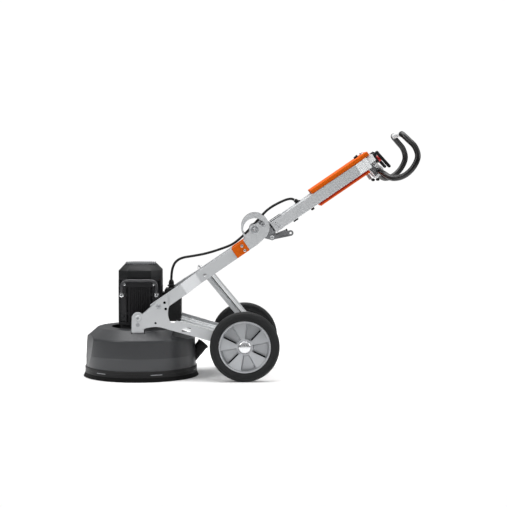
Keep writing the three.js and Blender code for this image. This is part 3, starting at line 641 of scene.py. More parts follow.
def make_skirt():
    profile = [(232, 18.3), (246.4, 18.3), (247, 19), (247, 26.8), (246.1, 27.3), (246.1, 32.8),
               (247, 33.3), (247, 43.6), (246, 45), (243, 45), (242.8, 24), (232, 24)]
    piece("skirt_band", revolve(profile, 192), PLASTIC, "skirt", replaces=["skirt_holder"], bevel=0)
    clips = [arc_strip(245.6, 246.9, (28.8, 31.2), -136.5 + 60 * i, -124.5 + 60 * i) for i in range(6)]
    piece("skirt_clips", together(*clips), ZINC, "skirt", bevel=0.3)
    profile = [(240, 18), (247, 18), (249.6, 11), (251.8, 5.5), (254, 0.6), (246, 0.6), (243, 9)]
    brush = revolve(profile, 720)
    for vertex in brush.verts:
        if vertex.co.z < 17:
            spread = 1 + random.uniform(-0.0035, 0.0025) * (18 - vertex.co.z) / 18
            vertex.co.x *= spread
            vertex.co.y *= spread
            vertex.co.z += random.uniform(-0.5, 0.9) if vertex.co.z < 2 else 0
    piece("skirt_bristles", brush, BRISTLE, "skirt", replaces=["brush_skirt"], bevel=0, smooth=20)


def make_head_mounts():
    """The upright on each side of the base plate, and the bolt that it hangs the head on."""
    for name, side in SIDES:
        outline = [(-24, 110.3), (24, 110.3), *arc(0, TRUNNION_Z, 24, 0, 180)]
        upright = slab(outline, reach(side, 175, 186.7))
        foot = box((-24, 24), reach(side, 140, 176), (110.3, 118))
        stud = along_y(cylinder(8, (0, 12), 32), side, 0, TRUNNION_Z, 184)
        mount = together(upright, foot, stud)
        piece(f"head_upright_{name}", mount, ZINC, replaces=[f"head_mount_{name}"])
        head = along_y(socket_head(13.5, 5.5), side, 0, TRUNNION_Z, 193.3)
        piece(f"trunnion_bolt_{name}", head, SILVER, slot="grey_steel", bevel=0.3)


def keep(material, *nodes):
    """A CAD node whose shape is right stays, with a better material."""
    for node in nodes:
        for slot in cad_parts[node].material_slots:
            slot.material = material


make_shroud()
make_skirt()
make_head_mounts()
keep(STEEL, "ring_gear", "motor_shaft", "sun_gear", "planet_carrier")
keep(STEEL, *[f"planet_spindle_{i}" for i in (1, 2, 3)])
keep(DIAMOND, *[f"grinding_plate_{i}" for i in (1, 2, 3)])
keep(ZINC, "base_plate")
keep(PLASTIC, "cooling_fan")


# ---------- motor ----------

def octagon(half, corner):
    """A square with its corners cut off, corner back from each."""
    flat = half - corner
    return [(half, -flat), (half, flat), (flat, half), (-flat, half),
            (-half, flat), (-half, -flat), (-flat, -half), (flat, -half)]


def motor_side():
    """The ribs, fins, lugs and panel on one side of the motor, drawn on its +X side."""
    parts = [box((86, 93.6), (-62, 62), (396, 426))]
    for along in range(-32, 33, 8):
        top = 386 + 6 * math.cos(math.radians(along * 2.5))
        parts.append(box((86, 93.4), (along - 1.3, along + 1.3), (240, top)))
    for along in (-58, -44, 44, 58):
        parts.append(box((86, 94), (along - 1.8, along + 1.8), (240, 397)))
    for along in (-51, 51):
        for height in (362, 280):
            lug = box((86, 93), (along - 5.2, along + 5.2), (height - 5.5, height + 5.5))
            parts.append(carve(lug, along_x(cylinder(2.6, (0, 9), 20), 87, along, height)))
    parts.append(along_x(socket_head(4.5, 3), 93, 16, 321))
    pad = box((94, 102.4), (-17, 17), (246, 352))
    boss = along_x(revolve([(0, 0), (7, 0), (6, 3.5), (0, 3.5)], 28), 101.5, 0, 268)
    parts.append(turned(together(pad, boss), "Z", 45))
    for along in (-18, 18):
        parts.append(turned(box((96, 102.8), (along - 1.6, along + 1.6), (240, 422)), "Z", 45))
    return parts


def make_motor():
    parts = [
        column(octagon(87, 35), (232, 430)),
        column(octagon(94, 42), (424, 432.9)),
        column(octagon(94, 40), (229, 241)),
        revolve([(0, 110.3), (91, 110.3), (91, 222), (87, 232), (0, 232)], 96),
    ]
    for quarter in range(4):
        parts += [turned(part, "Z", 90 * quarter) for part in motor_side()]
    piece("motor_body", together(*parts), CASTING, replaces=["motor_housing"], bevel=0.7)
    flange = [turned(moved(hex_head(7, 5), 82, 0, 232), "Z", 22.5 + 45 * i) for i in range(8)]
    piece("motor_flange_bolts", together(*flange), BLACK_PAINT, bevel=0)


def make_fan_cover():
    shell = carve(loft([(433.3, octagon(94, 42)), (465, octagon(94, 42)), (467.5, octagon(93, 41.5)),
                        (491, octagon(71, 34.5)), (493, octagon(68, 34))]),
                  loft([(425, octagon(91, 41)), (465, octagon(91, 41)), (500, octagon(60, 31))]))
    piece("fan_cover_shell", shell, COVER_PAINT, replaces=["fan_cover"], bevel=1.2)
    layers = (("low", 90, (490.4, 494.2), COVER_PAINT), ("high", 0, (494, 501), ZINC))
    for name, degrees, z, material in layers:
        wires = [turned(box((9 * i - 1.6, 9 * i + 1.6), (-70, 70), z), "Z", degrees) for i in range(-7, 8)]
        wires = carve(together(*wires), loft([(485, octagon(69, 34)), (505, octagon(69, 34))]),
                      operation="INTERSECT")
        piece(f"fan_grille_{name}", wires, material, slot="black_paint", bevel=0.4)
    screws = []
    for _, side in SIDES:
        screws += [along_y(pan_head(6, 4), side, x, 407, 93.6) for x in (-66, 64)]
    piece("cover_screws", together(*screws), CHROME, bevel=0)


def make_bow_handles():
    half = [(76, 101, 352), (76, 103, 362), (76, 108, 376), (76, 108, 402), (70, 108, 417), (56, 108, 424)]
    route = [(-x, y, z) for x, y, z in half] + [(0, 108, 424.5)] + half[::-1]
    for name, side in SIDES:
        bow = [tube(smooth_path([(x, side * y, z) for x, y, z in route], 6), 6.4, 20)]
        for x in (-76, 76):
            foot = revolve([(0, 0), (12, 0), (12, 8), (10.5, 9.5), (0, 9.5)], 40)
            bow.append(along_y(foot, side, x, 362, 94.3))
        piece(f"bow_bar_{name}", together(*bow), BOW_PAINT, replaces=[f"bow_handle_{name}"], bevel=0.5)
        bolts = [along_y(socket_head(9.5, 6), side, x, 362, 107) for x in (-76, 76)]
        piece(f"bow_bolts_{name}", together(*bolts), CHROME, bevel=0.3)


def make_terminal_box():
    body = slab(rounded(107, 163, 242, 385, 6), (-48, 48))
    seam = slab(rounded(160, 168, 244, 383, 3), (-46.5, 46.5))
    lid = slab(rounded(164.5, 179, 242, 385, 6), (-48, 48))
    neck = box((94.3, 108), (-34, 34), (262, 368))
    boss = moved(revolve([(0, 0), (18, 0), (16, 2.5), (0, 2.5)], 40), LOWER_GLAND_X, 0, 384.8)
    piece("terminal_housing", together(body, seam, lid, neck, boss), BLACK_PAINT,
          replaces=["terminal_box"], bevel=1.6)
    screws = []
    for y in (-40, 40):
        for z in (252, 375):
            screws.append(along_x(pan_head(4.5, 3), 178.6, y, z))
    piece("terminal_screws", together(*screws), CHROME, bevel=0)


make_motor()
make_fan_cover()
make_bow_handles()
make_terminal_box()


# ---------- chassis ----------

AXLE = (459, 150)
BEAM_INNER, BEAM_OUTER = 65, 105
STRUT_FOOT = (486, 221)
STRUT_ANGLE = 50.5
DECK_START = (168, 238)
DECK_SLOPE = math.degrees(math.atan2(45, 160))


def side_plate_outline():
    points = [(-27, 206), (26, 206), (26, 224), *bend((26, 224), (77, 242), (128, 222)), (258, 186),
              (306, 172)]
    points += [(451, 126), *arc(*AXLE, 25, -108.9, 74.5)]
    points += [(324, 214), (166, 260), *bend((166, 260), (152, 240), (137, 257))]
    points += [*bend((137, 257), (124, 288), (134, 320)), (127, 375), (88, 348), (18, 286)]
    return points + arc(0, TRUNNION_Z, 26, 40.1, 180)


def make_side_plates():
    holes = [circle(0, TRUNNION_Z, 8.3), circle(*AXLE, 13.1), circle(115, 337, 6), circle(120, 310, 6),
             circle(76, 249, 5), rounded(189, 228, 211, 229, 5)]
    for name, side in SIDES:
        plate = slab(side_plate_outline(), reach(side, 187, 193), holes)
        piece(f"frame_plate_{name}", plate, SILVER, replaces=[f"side_plate_{name}"], bevel=1.0)
        fixings = [along_y(socket_head(10.5, 4.5), side, *ARM_START, 193),
                   along_y(revolve([(0, 0), (9, 0), (7.5, 1.2), (0, 1.2)], 40), side, 0, 242, 193)]
        piece(f"frame_bolts_{name}", together(*fixings), ZINC, slot="silver_paint", bevel=0.3)
        # Black discs inside two holes of each plate: painted shade in the holes.
        hole_shades = [along_y(cylinder(5.8, (0, 2), 32), side, x, z, 187.4)
                    for x, z in ((115, 337), (120, 310))]
        piece(f"frame_hole_shade_{name}", together(*hole_shades), HOLE_SHADE, bevel=0)


def along_deck(solid):
    """A solid drawn on a level deck, its top at Z 0, goes to the sloping one."""
    return moved(turned(solid, "Y", DECK_SLOPE), DECK_START[0], 0, DECK_START[1])


def make_deck():
    sheet = box((0, 268), (-186.7, 186.7), (-8, 0))
    grooves = [box((-5, 280), (y - half, y + half), (-3, 5))
               for y, half in ((-80, 6), (80, 6), (-170, 2.5), (170, 2.5))]
    piece("deck_sheet", along_deck(carve(sheet, *grooves)), BRIGHT, replaces=["rear_deck"], bevel=0.8)
    ribs = [box((4, 262), (y - 7, y + 7), (-1, 8)) for y in (-150, -50, 50, 150)]
    piece("deck_ribs", along_deck(together(*ribs)), BRIGHT, bevel=1.5)
    # Black strips beside the ribs: painted shade for the dark lines between the bright ribs.
    strips = [box((4, 262), reach(side, y, y + 12), (-1, 3)) for _, side in SIDES for y in (57.2, 157.2)]
    piece("deck_rib_shade", along_deck(together(*strips)), PLASTIC, bevel=0.5)
    screws = [along_deck(moved(pan_head(4.5, 2.5), x, y)) for x in (18, 250) for y in (-120, 0, 120)]
    piece("deck_screws", together(*screws), ZINC, bevel=0)


def along_strut(solid):
    """A solid drawn along X, its lower end at X 0, goes to the leaning strut."""
    return moved(turned(solid, "Y", STRUT_ANGLE), STRUT_FOOT[0], 0, STRUT_FOOT[1])


def make_strut():
    profile = box((-316, 0), (-64, 64), (-17, 20))
    grooves = [box((-330, 10), (-20, 20), (14, 30)), box((-330, 10), (-2, 2), (10, 30)),
               box((-330, 10), (-70, -61), (-1, 5)), box((-330, 10), (61, 70), (-1, 5))]
    boss = box((-316, -286), (-64, 64), (-22, 22))
    # Painted highlight: bright strips near the top of each side face; painted shade: black strips just
    # below them.
    strips = [box((-284, -2), reach(side, 61, 64.6), (8.5, 19)) for _, side in SIDES]
    shadows = [box((-284, -2), reach(side, 61, 64.2), (5.2, 8.3)) for _, side in SIDES]
    piece("strut_edge_highlight", along_strut(together(*strips)), BRIGHT, slot="silver_paint", bevel=0.6)
    piece("strut_groove_shade", along_strut(together(*shadows)), PLASTIC, bevel=0)
    piece("strut_profile", along_strut(together(carve(profile, *grooves), boss)), BRUSHED,
          replaces=["strut"], bevel=1.4)


def make_axle():
    x, z = AXLE
    rod = along_y(revolve([(0, -242), (9, -242), (10, -240.5), (10, -196), (12.5, -196), (12.5, 196),
                           (10, 196), (10, 240.5), (9, 242), (0, 242)], 48), 1, x, z)
    piece("axle_rod", rod, ZINC, replaces=["axle"], bevel=0.4)
    outline = [*arc(x, z, 28, -206.3, -17.2), (512, 205), (505, 240), (466, 208)]
    body = slab(outline, (-70, 70))
    seat = along_strut(box((-60, 0.3), (-64.3, 64.3), (-17.3, 20.3)))
    bore = along_y(cylinder(12.8, (-80, 80), 48), 1, x, z)
    piece("axle_bracket", carve(body, seat, bore), ZINC, replaces=["axle_carrier"], bevel=1.5)


def make_lower_beams():
    plan = [(-28, 146.7), (118, 146.7), *bend((118, 146.7), (124, 146.7), (128, 142), 4),
            (192, 71), *bend((192, 71), (197, BEAM_INNER), (205, BEAM_INNER), 4),
            (452, BEAM_INNER), (452, BEAM_OUTER),
            (213, BEAM_OUTER), *bend((213, BEAM_OUTER), (205, BEAM_OUTER), (200, 110), 4),
            (136, 180), *bend((136, 180), (130, 186.7), (121, 186.7), 4), (-28, 186.7)]
    for name, side in SIDES:
        beam = column([(u, side * y) for u, y in plan], (-25, 25))
        shoulders = [box((394, 460), reach(side, *width), height)
                     for width, height in (((60, 110), (21, 30)), ((60, 110), (-30, -21)),
                                           ((101, 110), (-30, 30)), ((60, 69), (-30, 30)))]
        piece(f"beam_{name}", carve(beam, *shoulders), BRUSHED, "chassis", ARM, [f"lower_beam_{name}"],
              bevel=2)
        shell = carve(box((394.3, 458), reach(side, 62, 109), (-25, 25)),
                      box((380, 470), reach(side, 68.7, 101.3), (-21.3, 21.3)))
        piece(f"fold_sleeve_{name}", shell, SLEEVE, "chassis", ARM, [f"sleeve_{name}"], bevel=3)
        bolts = [along_y(socket_head(7, 4.5), side, 439.5, v, 109) for v in (9, -14)]
        bolts.append(along_y(socket_head(8, 4.5), side, 235, -4, BEAM_OUTER))
        piece(f"beam_bolts_{name}", together(*bolts), CHROME, "chassis", ARM, bevel=0.3)
    pin = revolve([(0, 20), (4.5, 20), (4.5, 43), (3, 47), (0, 47)], 28)
    ring = [(10.5 * math.cos(t / 3), 0, 34 + 9 * math.sin(t / 3)) for t in range(19)]
    piece("locking_pin", moved(together(pin, tube(ring, 1.1, 10)), 235, -85), CHROME, "chassis", ARM,
          bevel=0.4)


make_side_plates()
make_deck()
make_strut()
make_axle()
make_lower_beams()


# ---------- fold joint ----------

LATCH_PIVOT = (569, -34)
LATCH_GRIP = (589, -30.5)               # where the grip of the latch starts
LATCH_GRIP_LEAN = math.degrees(0.24)    # from the handle's own line


def make_fold_plates():
    px, pv = FOLD_PIVOT
    window = [*arc(*LOCK_BOLT, 8.5, -180, 0), *arc(px, pv, 50, 0, 158, 40), (px - 47, pv + 12),
              (px - 45, pv + 4), (px - 24, pv + 4), *arc(px, pv, 24, 170, 43, 20),
              *arc(px, pv, 33, 34, 0, 8)]
    outline = [(458.3, -24), (500, -24), *arc(533, 43, 62, -80.2, 190.2, 64), (458.3, 27)]
    for name, side in SIDES:
        plate = slab(outline, reach(side, 103.5, 109), [window])
        root = box((452.3, 474), reach(side, 70, 104), (-20, 20))
        sleeve_room = [box((440, 458.3), reach(side, *walls), (-30, 30))
                       for walls in ((60, 68.7), (101.3, 115))]
        pin = along_y(revolve([(0, 0), (8, 0), (8, 24), (7, 25), (0, 25)], 40), side, px, pv, 90)
        collar = revolve([(7, 0), (17, 0), (17, 0.9), (15.5, 1.6), (7, 1.6)], 48)
        collar = along_y(collar, side, px, pv, 109)
        nut = along_y(socket_head(10, 4.5), side, px, pv, 110.5)
        whole = together(carve(together(plate, root), *sleeve_room), pin)
        piece(f"hoop_{name}", whole, BRUSHED, "chassis", ARM, [f"fold_plate_{name}"], bevel=0.9)
        piece(f"fold_nut_{name}", together(collar, nut), ZINC, "chassis", ARM, bevel=0.3)


def make_handle_brackets():
    px, pv = FOLD_PIVOT
    outline = [*arc(px, pv, 22, 90, 243, 20), (541, -21), *arc(*LATCH_PIVOT, 13, 198, 342, 16), (597, -22),
               (597, 24), (575, 52)]
    holes = [circle(px, pv, 8.3), circle(*LOCK_BOLT, 6.3), circle(*LATCH_PIVOT, 5.3)]
    for name, side in SIDES:
        plate = slab(outline, reach(side, 96, 103), holes)
        spigot = box((590, 650), reach(side, 86, 107), (-19, 19))
        trim = box((585, 597), reach(side, 103, 120), (-30, 30))
        handle_piece(f"bracket_{name}", together(plate, carve(spigot, trim)), ZINC,
                     [f"handle_bracket_{name}"], bevel=0.8)


def make_lock_rod():
    """The bolt that runs in the slots of both fold plates."""
    rod = along_y(cylinder(6, (-112, 112), 32), 1, *LOCK_BOLT)
    heads = [along_y(socket_head(9, 6.5), side, *LOCK_BOLT, 109.3) for _, side in SIDES]
    handle_piece("fold_lock_rod", together(rod, *heads), ZINC, ["lock_rod"], bevel=0.3)


def along_latch(solid):
    """A solid drawn along X goes to the grip of the latch."""
    return moved(turned(solid, "Y", LATCH_GRIP_LEAN), LATCH_GRIP[0], 0, LATCH_GRIP[1])


def make_latch():
    eye = (646, -63.4)
    outline = [*arc(*LATCH_PIVOT, 10, 77, 249, 16), (641, -75), *arc(*eye, 12.5, -109, 69, 20)]
    blade = slab(outline, (-111, -103.3), [circle(*eye, 5)])
    window = slab([(584, -43), (630, -60), (628, -66), (586, -50)], (-112, -109))
    grip = along_latch(box((0, 52), (-111, -103.3), (-3.5, 3.5)))
    web = box((586, 600), (-110, -104), (-48, -32))
    pin = along_y(cylinder(5, (0, 20), 28), -1, *LATCH_PIVOT, 90)
    rivet = along_y(socket_head(8.5, 3.5), -1, *LATCH_PIVOT, 110.6)
    tip = along_latch(box((49, 55), (-111.6, -102.8), (-5, 5)))
    lever = together(carve(blade, window), grip, web, pin)
    piece("latch_blade", lever, LEVER_CAST, "latch", ARM, ["latch_lever"], bevel=1.2)
    piece("latch_rivet", rivet, SILVER, "latch", ARM, slot="grey_steel", bevel=0.2)
    piece("latch_tip", tip, PLASTIC, "latch", ARM, slot="charcoal_paint", bevel=1)


make_fold_plates()
make_handle_brackets()
make_lock_rod()
make_latch()


# ---------- upper handle ----------

RAIL_V = (-27, 24)                      # the rails' lower and upper face, across the handle
KNOB_U, START_U = 1073, 1101
CLAMP_AXIS = (1119, -59)                # the handlebar's axis in the handle head
LEVER_Y, LEVER_V = 92, 13
STOP_V = -16


def make_rails():
    for name, side in SIDES:
        inner, outer = (82, 112) if side > 0 else (-112, -82)
        rail = bar(rounded(inner, outer, *RAIL_V, 3.5), (598, 1081))
        hollow = bar(rounded(inner + 3, outer - 3, RAIL_V[0] + 3, RAIL_V[1] - 3, 1.5), (590, 1090))
        handle_piece(f"rail_{name}", carve(rail, hollow), BRUSHED, [f"upper_rail_{name}"], bevel=0.5)
        bolts = [along_y(socket_head(6.5, 4), side, u, v, 112) for u, v in ((618, 12), (620, -12))]
        handle_piece(f"rail_bolts_{name}", together(*bolts), SILVER, slot="grey_steel", bevel=0.3)
        strip = box((600, 655), reach(side, 84, 110), (24, 25.6))
        foot = slab(rounded(685, 709, -33.5, -27, 2), reach(side, 88, 106))
        handle_piece(f"rail_pads_{name}", together(strip, foot), PLASTIC, bevel=0.8)
        panel = box((1043, 1080.5), reach(side, 112, 113), (-25, 22))
        handle_piece(f"rail_panel_{name}", panel, BRIGHT, bevel=0.5)


def make_cabinet():
    body = carve(box((690, 1078), (-81.7, 81.7), RAIL_V), box((700, 812), (-66, 66), (21.5, 30)))
    screws = [moved(pan_head(4, 2.2), u, y, 21.5) for u in (708, 804) for y in (-58, 58)]
    handle_piece("cabinet_shell", body, BRUSHED, ["control_cabinet"], bevel=1.0)
    handle_piece("cabinet_screws", together(*screws), CHROME, bevel=0)
    connector = revolve([(0, -41), (5, -41), (8, -39), (8, -33), (11, -32), (11, -27), (0, -27)], 40)
    handle_piece("lower_connector", moved(connector, 788), PLASTIC, bevel=0.5)


def make_covers():
    outline = [(-113, 24.3), (113, 24.3), *arc(108, 37, 5, 0, 90, 8), *arc(-108, 37, 5, 90, 180, 8)]
    lid = carve(bar(outline, (820, 1118)), moved(cylinder(9.5, (35, 60), 40), START_U))
    seam = [box((812, 1130), reach(side, 112.4, 120), (27.2, 28.2)) for _, side in SIDES]
    handle_piece("top_cover_shell", carve(lid, *seam), ORANGE, ["top_cover"], bevel=1.2)
    tray = carve(bar(rounded(-109, 109, -41, -33.5, 3), (822, 1080)),
                 box((836, 1066), (-88, 88), (-50, -39.5)))
    handle_piece("bottom_cover_shell", tray, DARK_ORANGE, ["bottom_cover"], bevel=0.8)
    # The cover's upper band, in a darker red that is painted shade under the rails.
    band = bar(rounded(-107, 107, -33.8, -27.3, 1), (823, 1079))
    handle_piece("bottom_cover_shaded_band", band, SHADED_COVER_RED, bevel=0.6)
    screws = [turned(moved(pan_head(4, 2.2), -u, y, 41), "Y", 180) for u in (829, 1073) for y in (-96, 96)]
    handle_piece("cover_screws_below", together(*screws), CHROME, bevel=0)


def make_handle_head():
    outline = [(1081.3, -27), (1092, -78), *arc(*CLAMP_AXIS, 21, -115, 23, 24), (1130, -27), (1130, 22),
               (1081.3, 22)]
    body = slab(outline, (-60, 60))
    pocket = [(1087, -30), (1095, -64), (1108, -34), (1124, -22), (1124, 14), (1087, 14)]
    pockets = [slab(pocket, reach(side, 52, 70)) for _, side in SIDES]
    collar = box((1081.3, 1099), (-112, 112), RAIL_V)
    bore = along_y(cylinder(13.7, (-70, 70), 48), 1, *CLAMP_AXIS)
    split = box((1117, 1121), (-70, 70), (-90, -59))
    handle_piece("head_casting", carve(together(carve(body, *pockets), collar), bore, split), BRIGHT,
                 ["handle_head"], bevel=1.4)
    for name, side in SIDES:
        # The web is drawn in the darker lever casting: painted shade on the web in the bright casting's
        # pocket.
        web = slab([(1099, -12), (1118, -44), (1112, -66), (1092, -72), (1090, -34)],
                   reach(side, 59.5, 62))
        handle_piece(f"head_web_shade_{name}", web, LEVER_CAST, slot="bright_aluminium", bevel=0.8)
    lug = box((1068, 1078), (-30, 30), (-72, -40))
    buffers = [along_y(cylinder(6.5, (-22, 22), 32), 1, u, v) for u, v in ((1080, -80), (1098, -90))]
    handle_piece("head_lug", lug, ZINC, bevel=1.5)
    handle_piece("head_buffers", together(*buffers), PLASTIC, bevel=1.5)


def make_controls():
    plate = bar(rounded(-106, 106, -26, 20, 6), (1130.3, 1138))
    lugs = [box((1099.3, 1130.3), reach(side, 74, 106), (-10, 20)) for _, side in SIDES]
    hole = along_x(cylinder(6.5, (0, 10), 32), 1132, 0, STOP_V)
    handle_piece("control_plate", carve(plate, hole), BLACK_PAINT, ["control_bar"], bevel=1)
    handle_piece("control_lugs", together(*lugs), BRIGHT, bevel=1)
    ring = along_x(revolve([(7, 0), (16, 0), (16, 2.4), (15, 3.2), (7, 3.2)], 64), 1137.9, 0, STOP_V)
    handle_piece("stop_ring", ring, YELLOW, bevel=0.4)
    mushroom = revolve([(0, 2.8), (6, 2.8), (6, 8.5), (13, 9.2), (14, 11), (14, 17.5), (12.8, 20.6),
                        (9.5, 22.4), (4, 23), (0, 23)], 64)
    piece("stop_mushroom", along_x(mushroom, 1138.5, 0, STOP_V), RED, "stop_button", ARM,
          ["emergency_stop"], bevel=0.3)
    for name, side in SIDES:
        y = side * LEVER_Y
        hub = revolve([(0, 0), (8, 0), (8, 17), (7, 20), (4, 22), (0, 22)], 40)
        hub = along_x(hub, 1138.3, y, LEVER_V)
        outline = [(1149, 14), (1147.5, 2), (1157, -65), *arc(1164, -65, 6.5, 190, 350, 10), (1160, 8),
                   (1158, 16)]
        blade = slab(outline, (y - 5.5, y + 5.5))
        piece(f"clamp_handle_{name}", together(hub, blade), PLASTIC, f"clamp_{name}", ARM,
              [f"clamp_lever_{name}"], bevel=1.8)
        cap = along_x(socket_head(5, 2.5), 1159.8, y, LEVER_V)
        piece(f"clamp_screw_{name}", cap, CHROME, f"clamp_{name}", ARM, bevel=0.2)
    skirt = revolve([(0, 42.3), (11, 42.3), (11, 44), (9.4, 45), (8.8, 50), (7.6, 51), (0, 51)], 48)
    ridges = [turned(box((8.7, 9.9), (-0.8, 0.8), (45, 50)), "Z", 24 * i) for i in range(15)]
    pointer = box((2, 9), (-0.8, 0.8), (50.6, 52.6))
    piece("speed_dial_knob", moved(together(skirt, *ridges, pointer), KNOB_U), PLASTIC, "speed_dial", ARM,
          ["speed_knob"], bevel=0.3)
    bezel = moved(revolve([(8.4, 42), (10, 42), (10, 43.6), (9.2, 44.2), (8.4, 44.2)], 48), START_U)
    handle_piece("start_bezel", bezel, CHROME, bevel=0.2)
    lens = moved(revolve([(0, 39), (4, 39), (4, 46), (8, 46), (8, 50), (6.4, 51.6), (0, 52)], 48), START_U)
    piece("start_lens", lens, LENS, "start_key", ARM, ["start_button"], bevel=0.3)


make_rails()
make_cabinet()
make_covers()
make_handle_head()
make_controls()


# ---------- handlebar ----------

CROSSBAR = (1134, 1060)


def make_handlebar():
    clamp = HEAD.inverted() @ ARM @ Vector((CLAMP_AXIS[0], 0, CLAMP_AXIS[1]))
    half = [(clamp.x, 35, clamp.z), (clamp.x, 70, clamp.z), (1060, 115, 892), (1095, 172, 871),
            (1138, 207, 881), (1175, 221, 915), (1195, 225, 962), (1184, 214, 1004), (1158, 195, 1034),
            (1139, 178, 1054), (CROSSBAR[0], 163, CROSSBAR[1]), (CROSSBAR[0], 150, CROSSBAR[1])]
    route = [(x, -y, z) for x, y, z in half][::-1] + [tuple(clamp)] + half
    grip = tube(smooth_path(route, 8), 12.5, 28)
    piece("handlebar_grips", grip, GRIP, "grip_bar", replaces=["handlebar"], bevel=1.5)
    rod = along_y(cylinder(10.5, (-149, 149), 48), 1, *CROSSBAR)
    piece("handlebar_rod", rod, BRIGHT, "grip_bar", replaces=["handlebar_crossbar"], bevel=0.5)


make_handlebar()


# ---------- wheels ----------

SECTOR_EDGES = (84, 47, 11, -26, -62, -98, -135, -170, -205.5, -240)
SHADE_STRIP_EDGES = (47, -26, -135, -205.5)    # the edges that have a strip of painted shade beside them
SPOKE_INNER, SPOKE_OUTER = 34, 104
SECTOR_STEPS = 8
SECTOR_DEPTH = 18
HALF_WALL = 3.3
HUB_FACE, HUB_FALL = 243, 7             # the face's height at its middle, and how much lower its rim is
HUB_BACK = 214


def sector_row(radius):
    """The turns, in degrees, and the depths of the points on one ring of the hub's face."""
    half_wall = math.degrees(math.asin(HALF_WALL / radius))
    on_edge_ring = radius in (SPOKE_INNER, SPOKE_OUTER)
    row = []
    for k, edge in enumerate(SECTOR_EDGES):
        following = SECTOR_EDGES[k + 1] if k < 9 else SECTOR_EDGES[0] - 360
        start, stop = edge - half_wall, following + half_wall
        depth = 0 if k % 2 or on_edge_ring else SECTOR_DEPTH
        row += [(start + (stop - start) * i / SECTOR_STEPS, depth) for i in range(SECTOR_STEPS + 1)]
    return row


def spoke_face():
    """The outer face of the hub: ten sectors, every other one set back, joined by sloping walls."""
    rings = [SPOKE_INNER, 38, 50, 62, 74, 86, 99, SPOKE_OUTER]
    vertices = []
    for radius in rings:
        height = HUB_FACE - HUB_FALL * (radius - SPOKE_INNER) / (SPOKE_OUTER - SPOKE_INNER)
        for degrees, depth in sector_row(radius):
            turn = math.radians(degrees)
            vertices.append((radius * math.cos(turn), radius * math.sin(turn), height - depth))
    count = len(vertices) // len(rings)
    faces = wall_faces(len(rings), count)
    outer, floor = len(vertices) - count, len(vertices)
    vertices += [(x, y, HUB_BACK) for x, y, _ in vertices[:count] + vertices[outer:]]
    for k in range(count):
        following = (k + 1) % count
        faces += [(k, following, floor + following, floor + k),
                  (outer + k, outer + following, floor + count + following, floor + count + k),
                  (floor + k, floor + following, floor + count + following, floor + count + k)]
    return solid_from(vertices, faces)


def wheel_shade_strips():
    """Painted shade: black strips set along four of the sector walls, standing for the shade at these
    walls.
    """
    middle = (SPOKE_INNER + SPOKE_OUTER) / 2
    lean = math.degrees(math.atan2(HUB_FALL, SPOKE_OUTER - SPOKE_INNER))
    shade_strip = moved(turned(box((-27, 29), (-2.8, 2.8), (-6, 0.5)), "Y", lean), middle, 0,
                  HUB_FACE - HUB_FALL / 2)
    slots = [turned(shade_strip.copy(), "Z", edge) for edge in SHADE_STRIP_EDGES]
    shade_strip.free()
    return together(*slots)


def make_wheels():
    for name, side in SIDES:
        body = f"wheel_{name}"
        tread = [(113, 198), (120, 198), (124, 200.5), (136, 200.5), (139, 198.6), (144, 200.5),
                 (148, 204.5), (150, 210), (150, 214), (147.6, 215), (147.6, 217), (150, 218), (150, 226),
                 (147.6, 227), (147.6, 229), (150, 230), (150, 234), (148, 239.5), (144, 243.5),
                 (139, 245.4), (136, 243.5), (124, 243.5), (120, 246), (113, 246)]
        tyre = along_y(revolve(tread, 160), side, *AXLE)
        piece(f"solid_tyre_{name}", tyre, RUBBER, body, replaces=[f"tyre_{name}"], bevel=0.8)
        face, slots = spoke_face(), wheel_shade_strips()
        if side > 0:                    # the far face is a mirror of the near one
            for solid in (face, slots):
                solid.transform(Matrix.Scale(-1, 4, (1, 0, 0)))
        rim = revolve([(103.6, 201), (111.7, 201), (111.7, 242.4), (110.8, 243), (105.4, 243),
                       (103.6, 236)], 128)
        boss = revolve([(10.3, 200), (34.4, 200), (34.4, 242.6), (32.6, 244.4), (28, 244.4), (28, 240),
                        (10.3, 240)], 96)
        hub = along_y(together(face, rim, boss), side, *AXLE)
        piece(f"wheel_casting_{name}", hub, ALLOY, body, replaces=[f"wheel_hub_{name}"], bevel=0.5,
              smooth=30)
        # Black strips of painted shade along four walls of the hub's sectors.
        piece(f"wheel_shade_strips_{name}", along_y(slots, side, *AXLE), HOLE_SHADE, body, slot="wheel_casting",
              bevel=0)
        dome = revolve([(0, 243), (22, 243), (22, 240.5), (27.6, 240.5), (27.6, 243), (25, 247.4),
                        (20, 249.8), (12, 251.4), (0, 252)], 96)
        piece(f"hub_cap_{name}", along_y(dome, side, *AXLE), CHROME, body, slot="bright_aluminium",
              bevel=0)


make_wheels()


# ---------- floor, light ----------

FLOOR_RADIUS = 2.4                      # metres


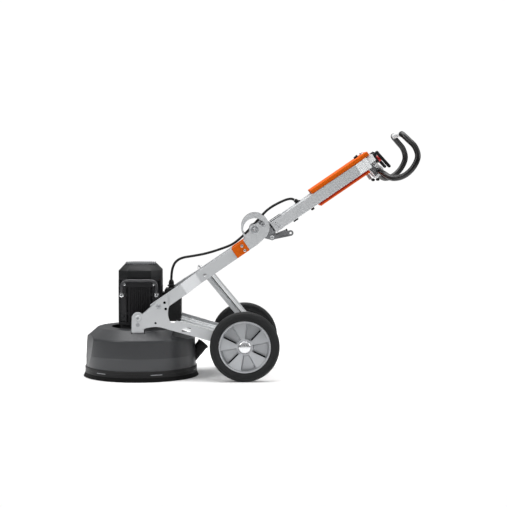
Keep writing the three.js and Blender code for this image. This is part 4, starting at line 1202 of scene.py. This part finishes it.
def make_floor():
    rim = circle(0, 0, FLOOR_RADIUS, 96)
    mesh = bpy.data.meshes.new("floor")
    mesh.from_pydata([(x, y, 0) for x, y in rim], [], [range(len(rim))])
    floor = bpy.data.objects.new("floor", mesh)
    bpy.context.scene.collection.objects.link(floor)
    material = bpy.data.materials.new("studio_floor")
    material.use_nodes = True
    shader = material.node_tree.nodes["Principled BSDF"]
    shader.inputs["Base Color"].default_value = (0.96, 0.96, 0.96, 1)
    shader.inputs["Roughness"].default_value = 0.9
    mesh.materials.append(material)


def area_light(name, place, target, size, power):
    """A soft rectangular light, in metres and watts, that faces its target."""
    data = bpy.data.lights.new(name, "AREA")
    data.shape = "RECTANGLE"
    data.size, data.size_y = size
    data.energy = power
    light = bpy.data.objects.new(name, data)
    light.location = place
    light.rotation_euler = (Vector(target) - Vector(place)).to_track_quat("-Z", "Y").to_euler()
    bpy.context.scene.collection.objects.link(light)


def make_world():
    """A white backdrop that lights the machine from above more than from the sides."""
    world = bpy.data.worlds.new("studio")
    world.use_nodes = True
    nodes, links = world.node_tree.nodes, world.node_tree.links
    background = nodes["Background"]
    background.inputs["Color"].default_value = (1, 1, 1, 1)
    direction = nodes.new("ShaderNodeSeparateXYZ")
    links.new(nodes.new("ShaderNodeTexCoord").outputs["Generated"], direction.inputs[0])
    sky = ranged(nodes, links, direction.outputs["Z"], 0.12, 1.0, 0.05, 0.95)
    seen = nodes.new("ShaderNodeLightPath").outputs["Is Camera Ray"]
    strength = nodes.new("ShaderNodeMix")
    links.new(seen, strength.inputs["Factor"])
    links.new(sky, strength.inputs["A"])
    strength.inputs["B"].default_value = 1.02
    links.new(strength.outputs["Result"], background.inputs["Strength"])
    bpy.context.scene.world = world


def make_light():
    area_light("left", (-3.0, -2.0, 2.6), (-0.3, 0, 0.3), (1.0, 1.6), 45)
    area_light("right", (3.2, -1.0, 1.6), (0, 0, 0.5), (1.2, 1.8), 36)
    area_light("above", (0.0, 0.3, 3.6), (0, 0, 0.3), (4, 2.4), 120)
    bpy.context.scene.view_settings.view_transform = "Standard"


make_floor()
make_world()
make_light()
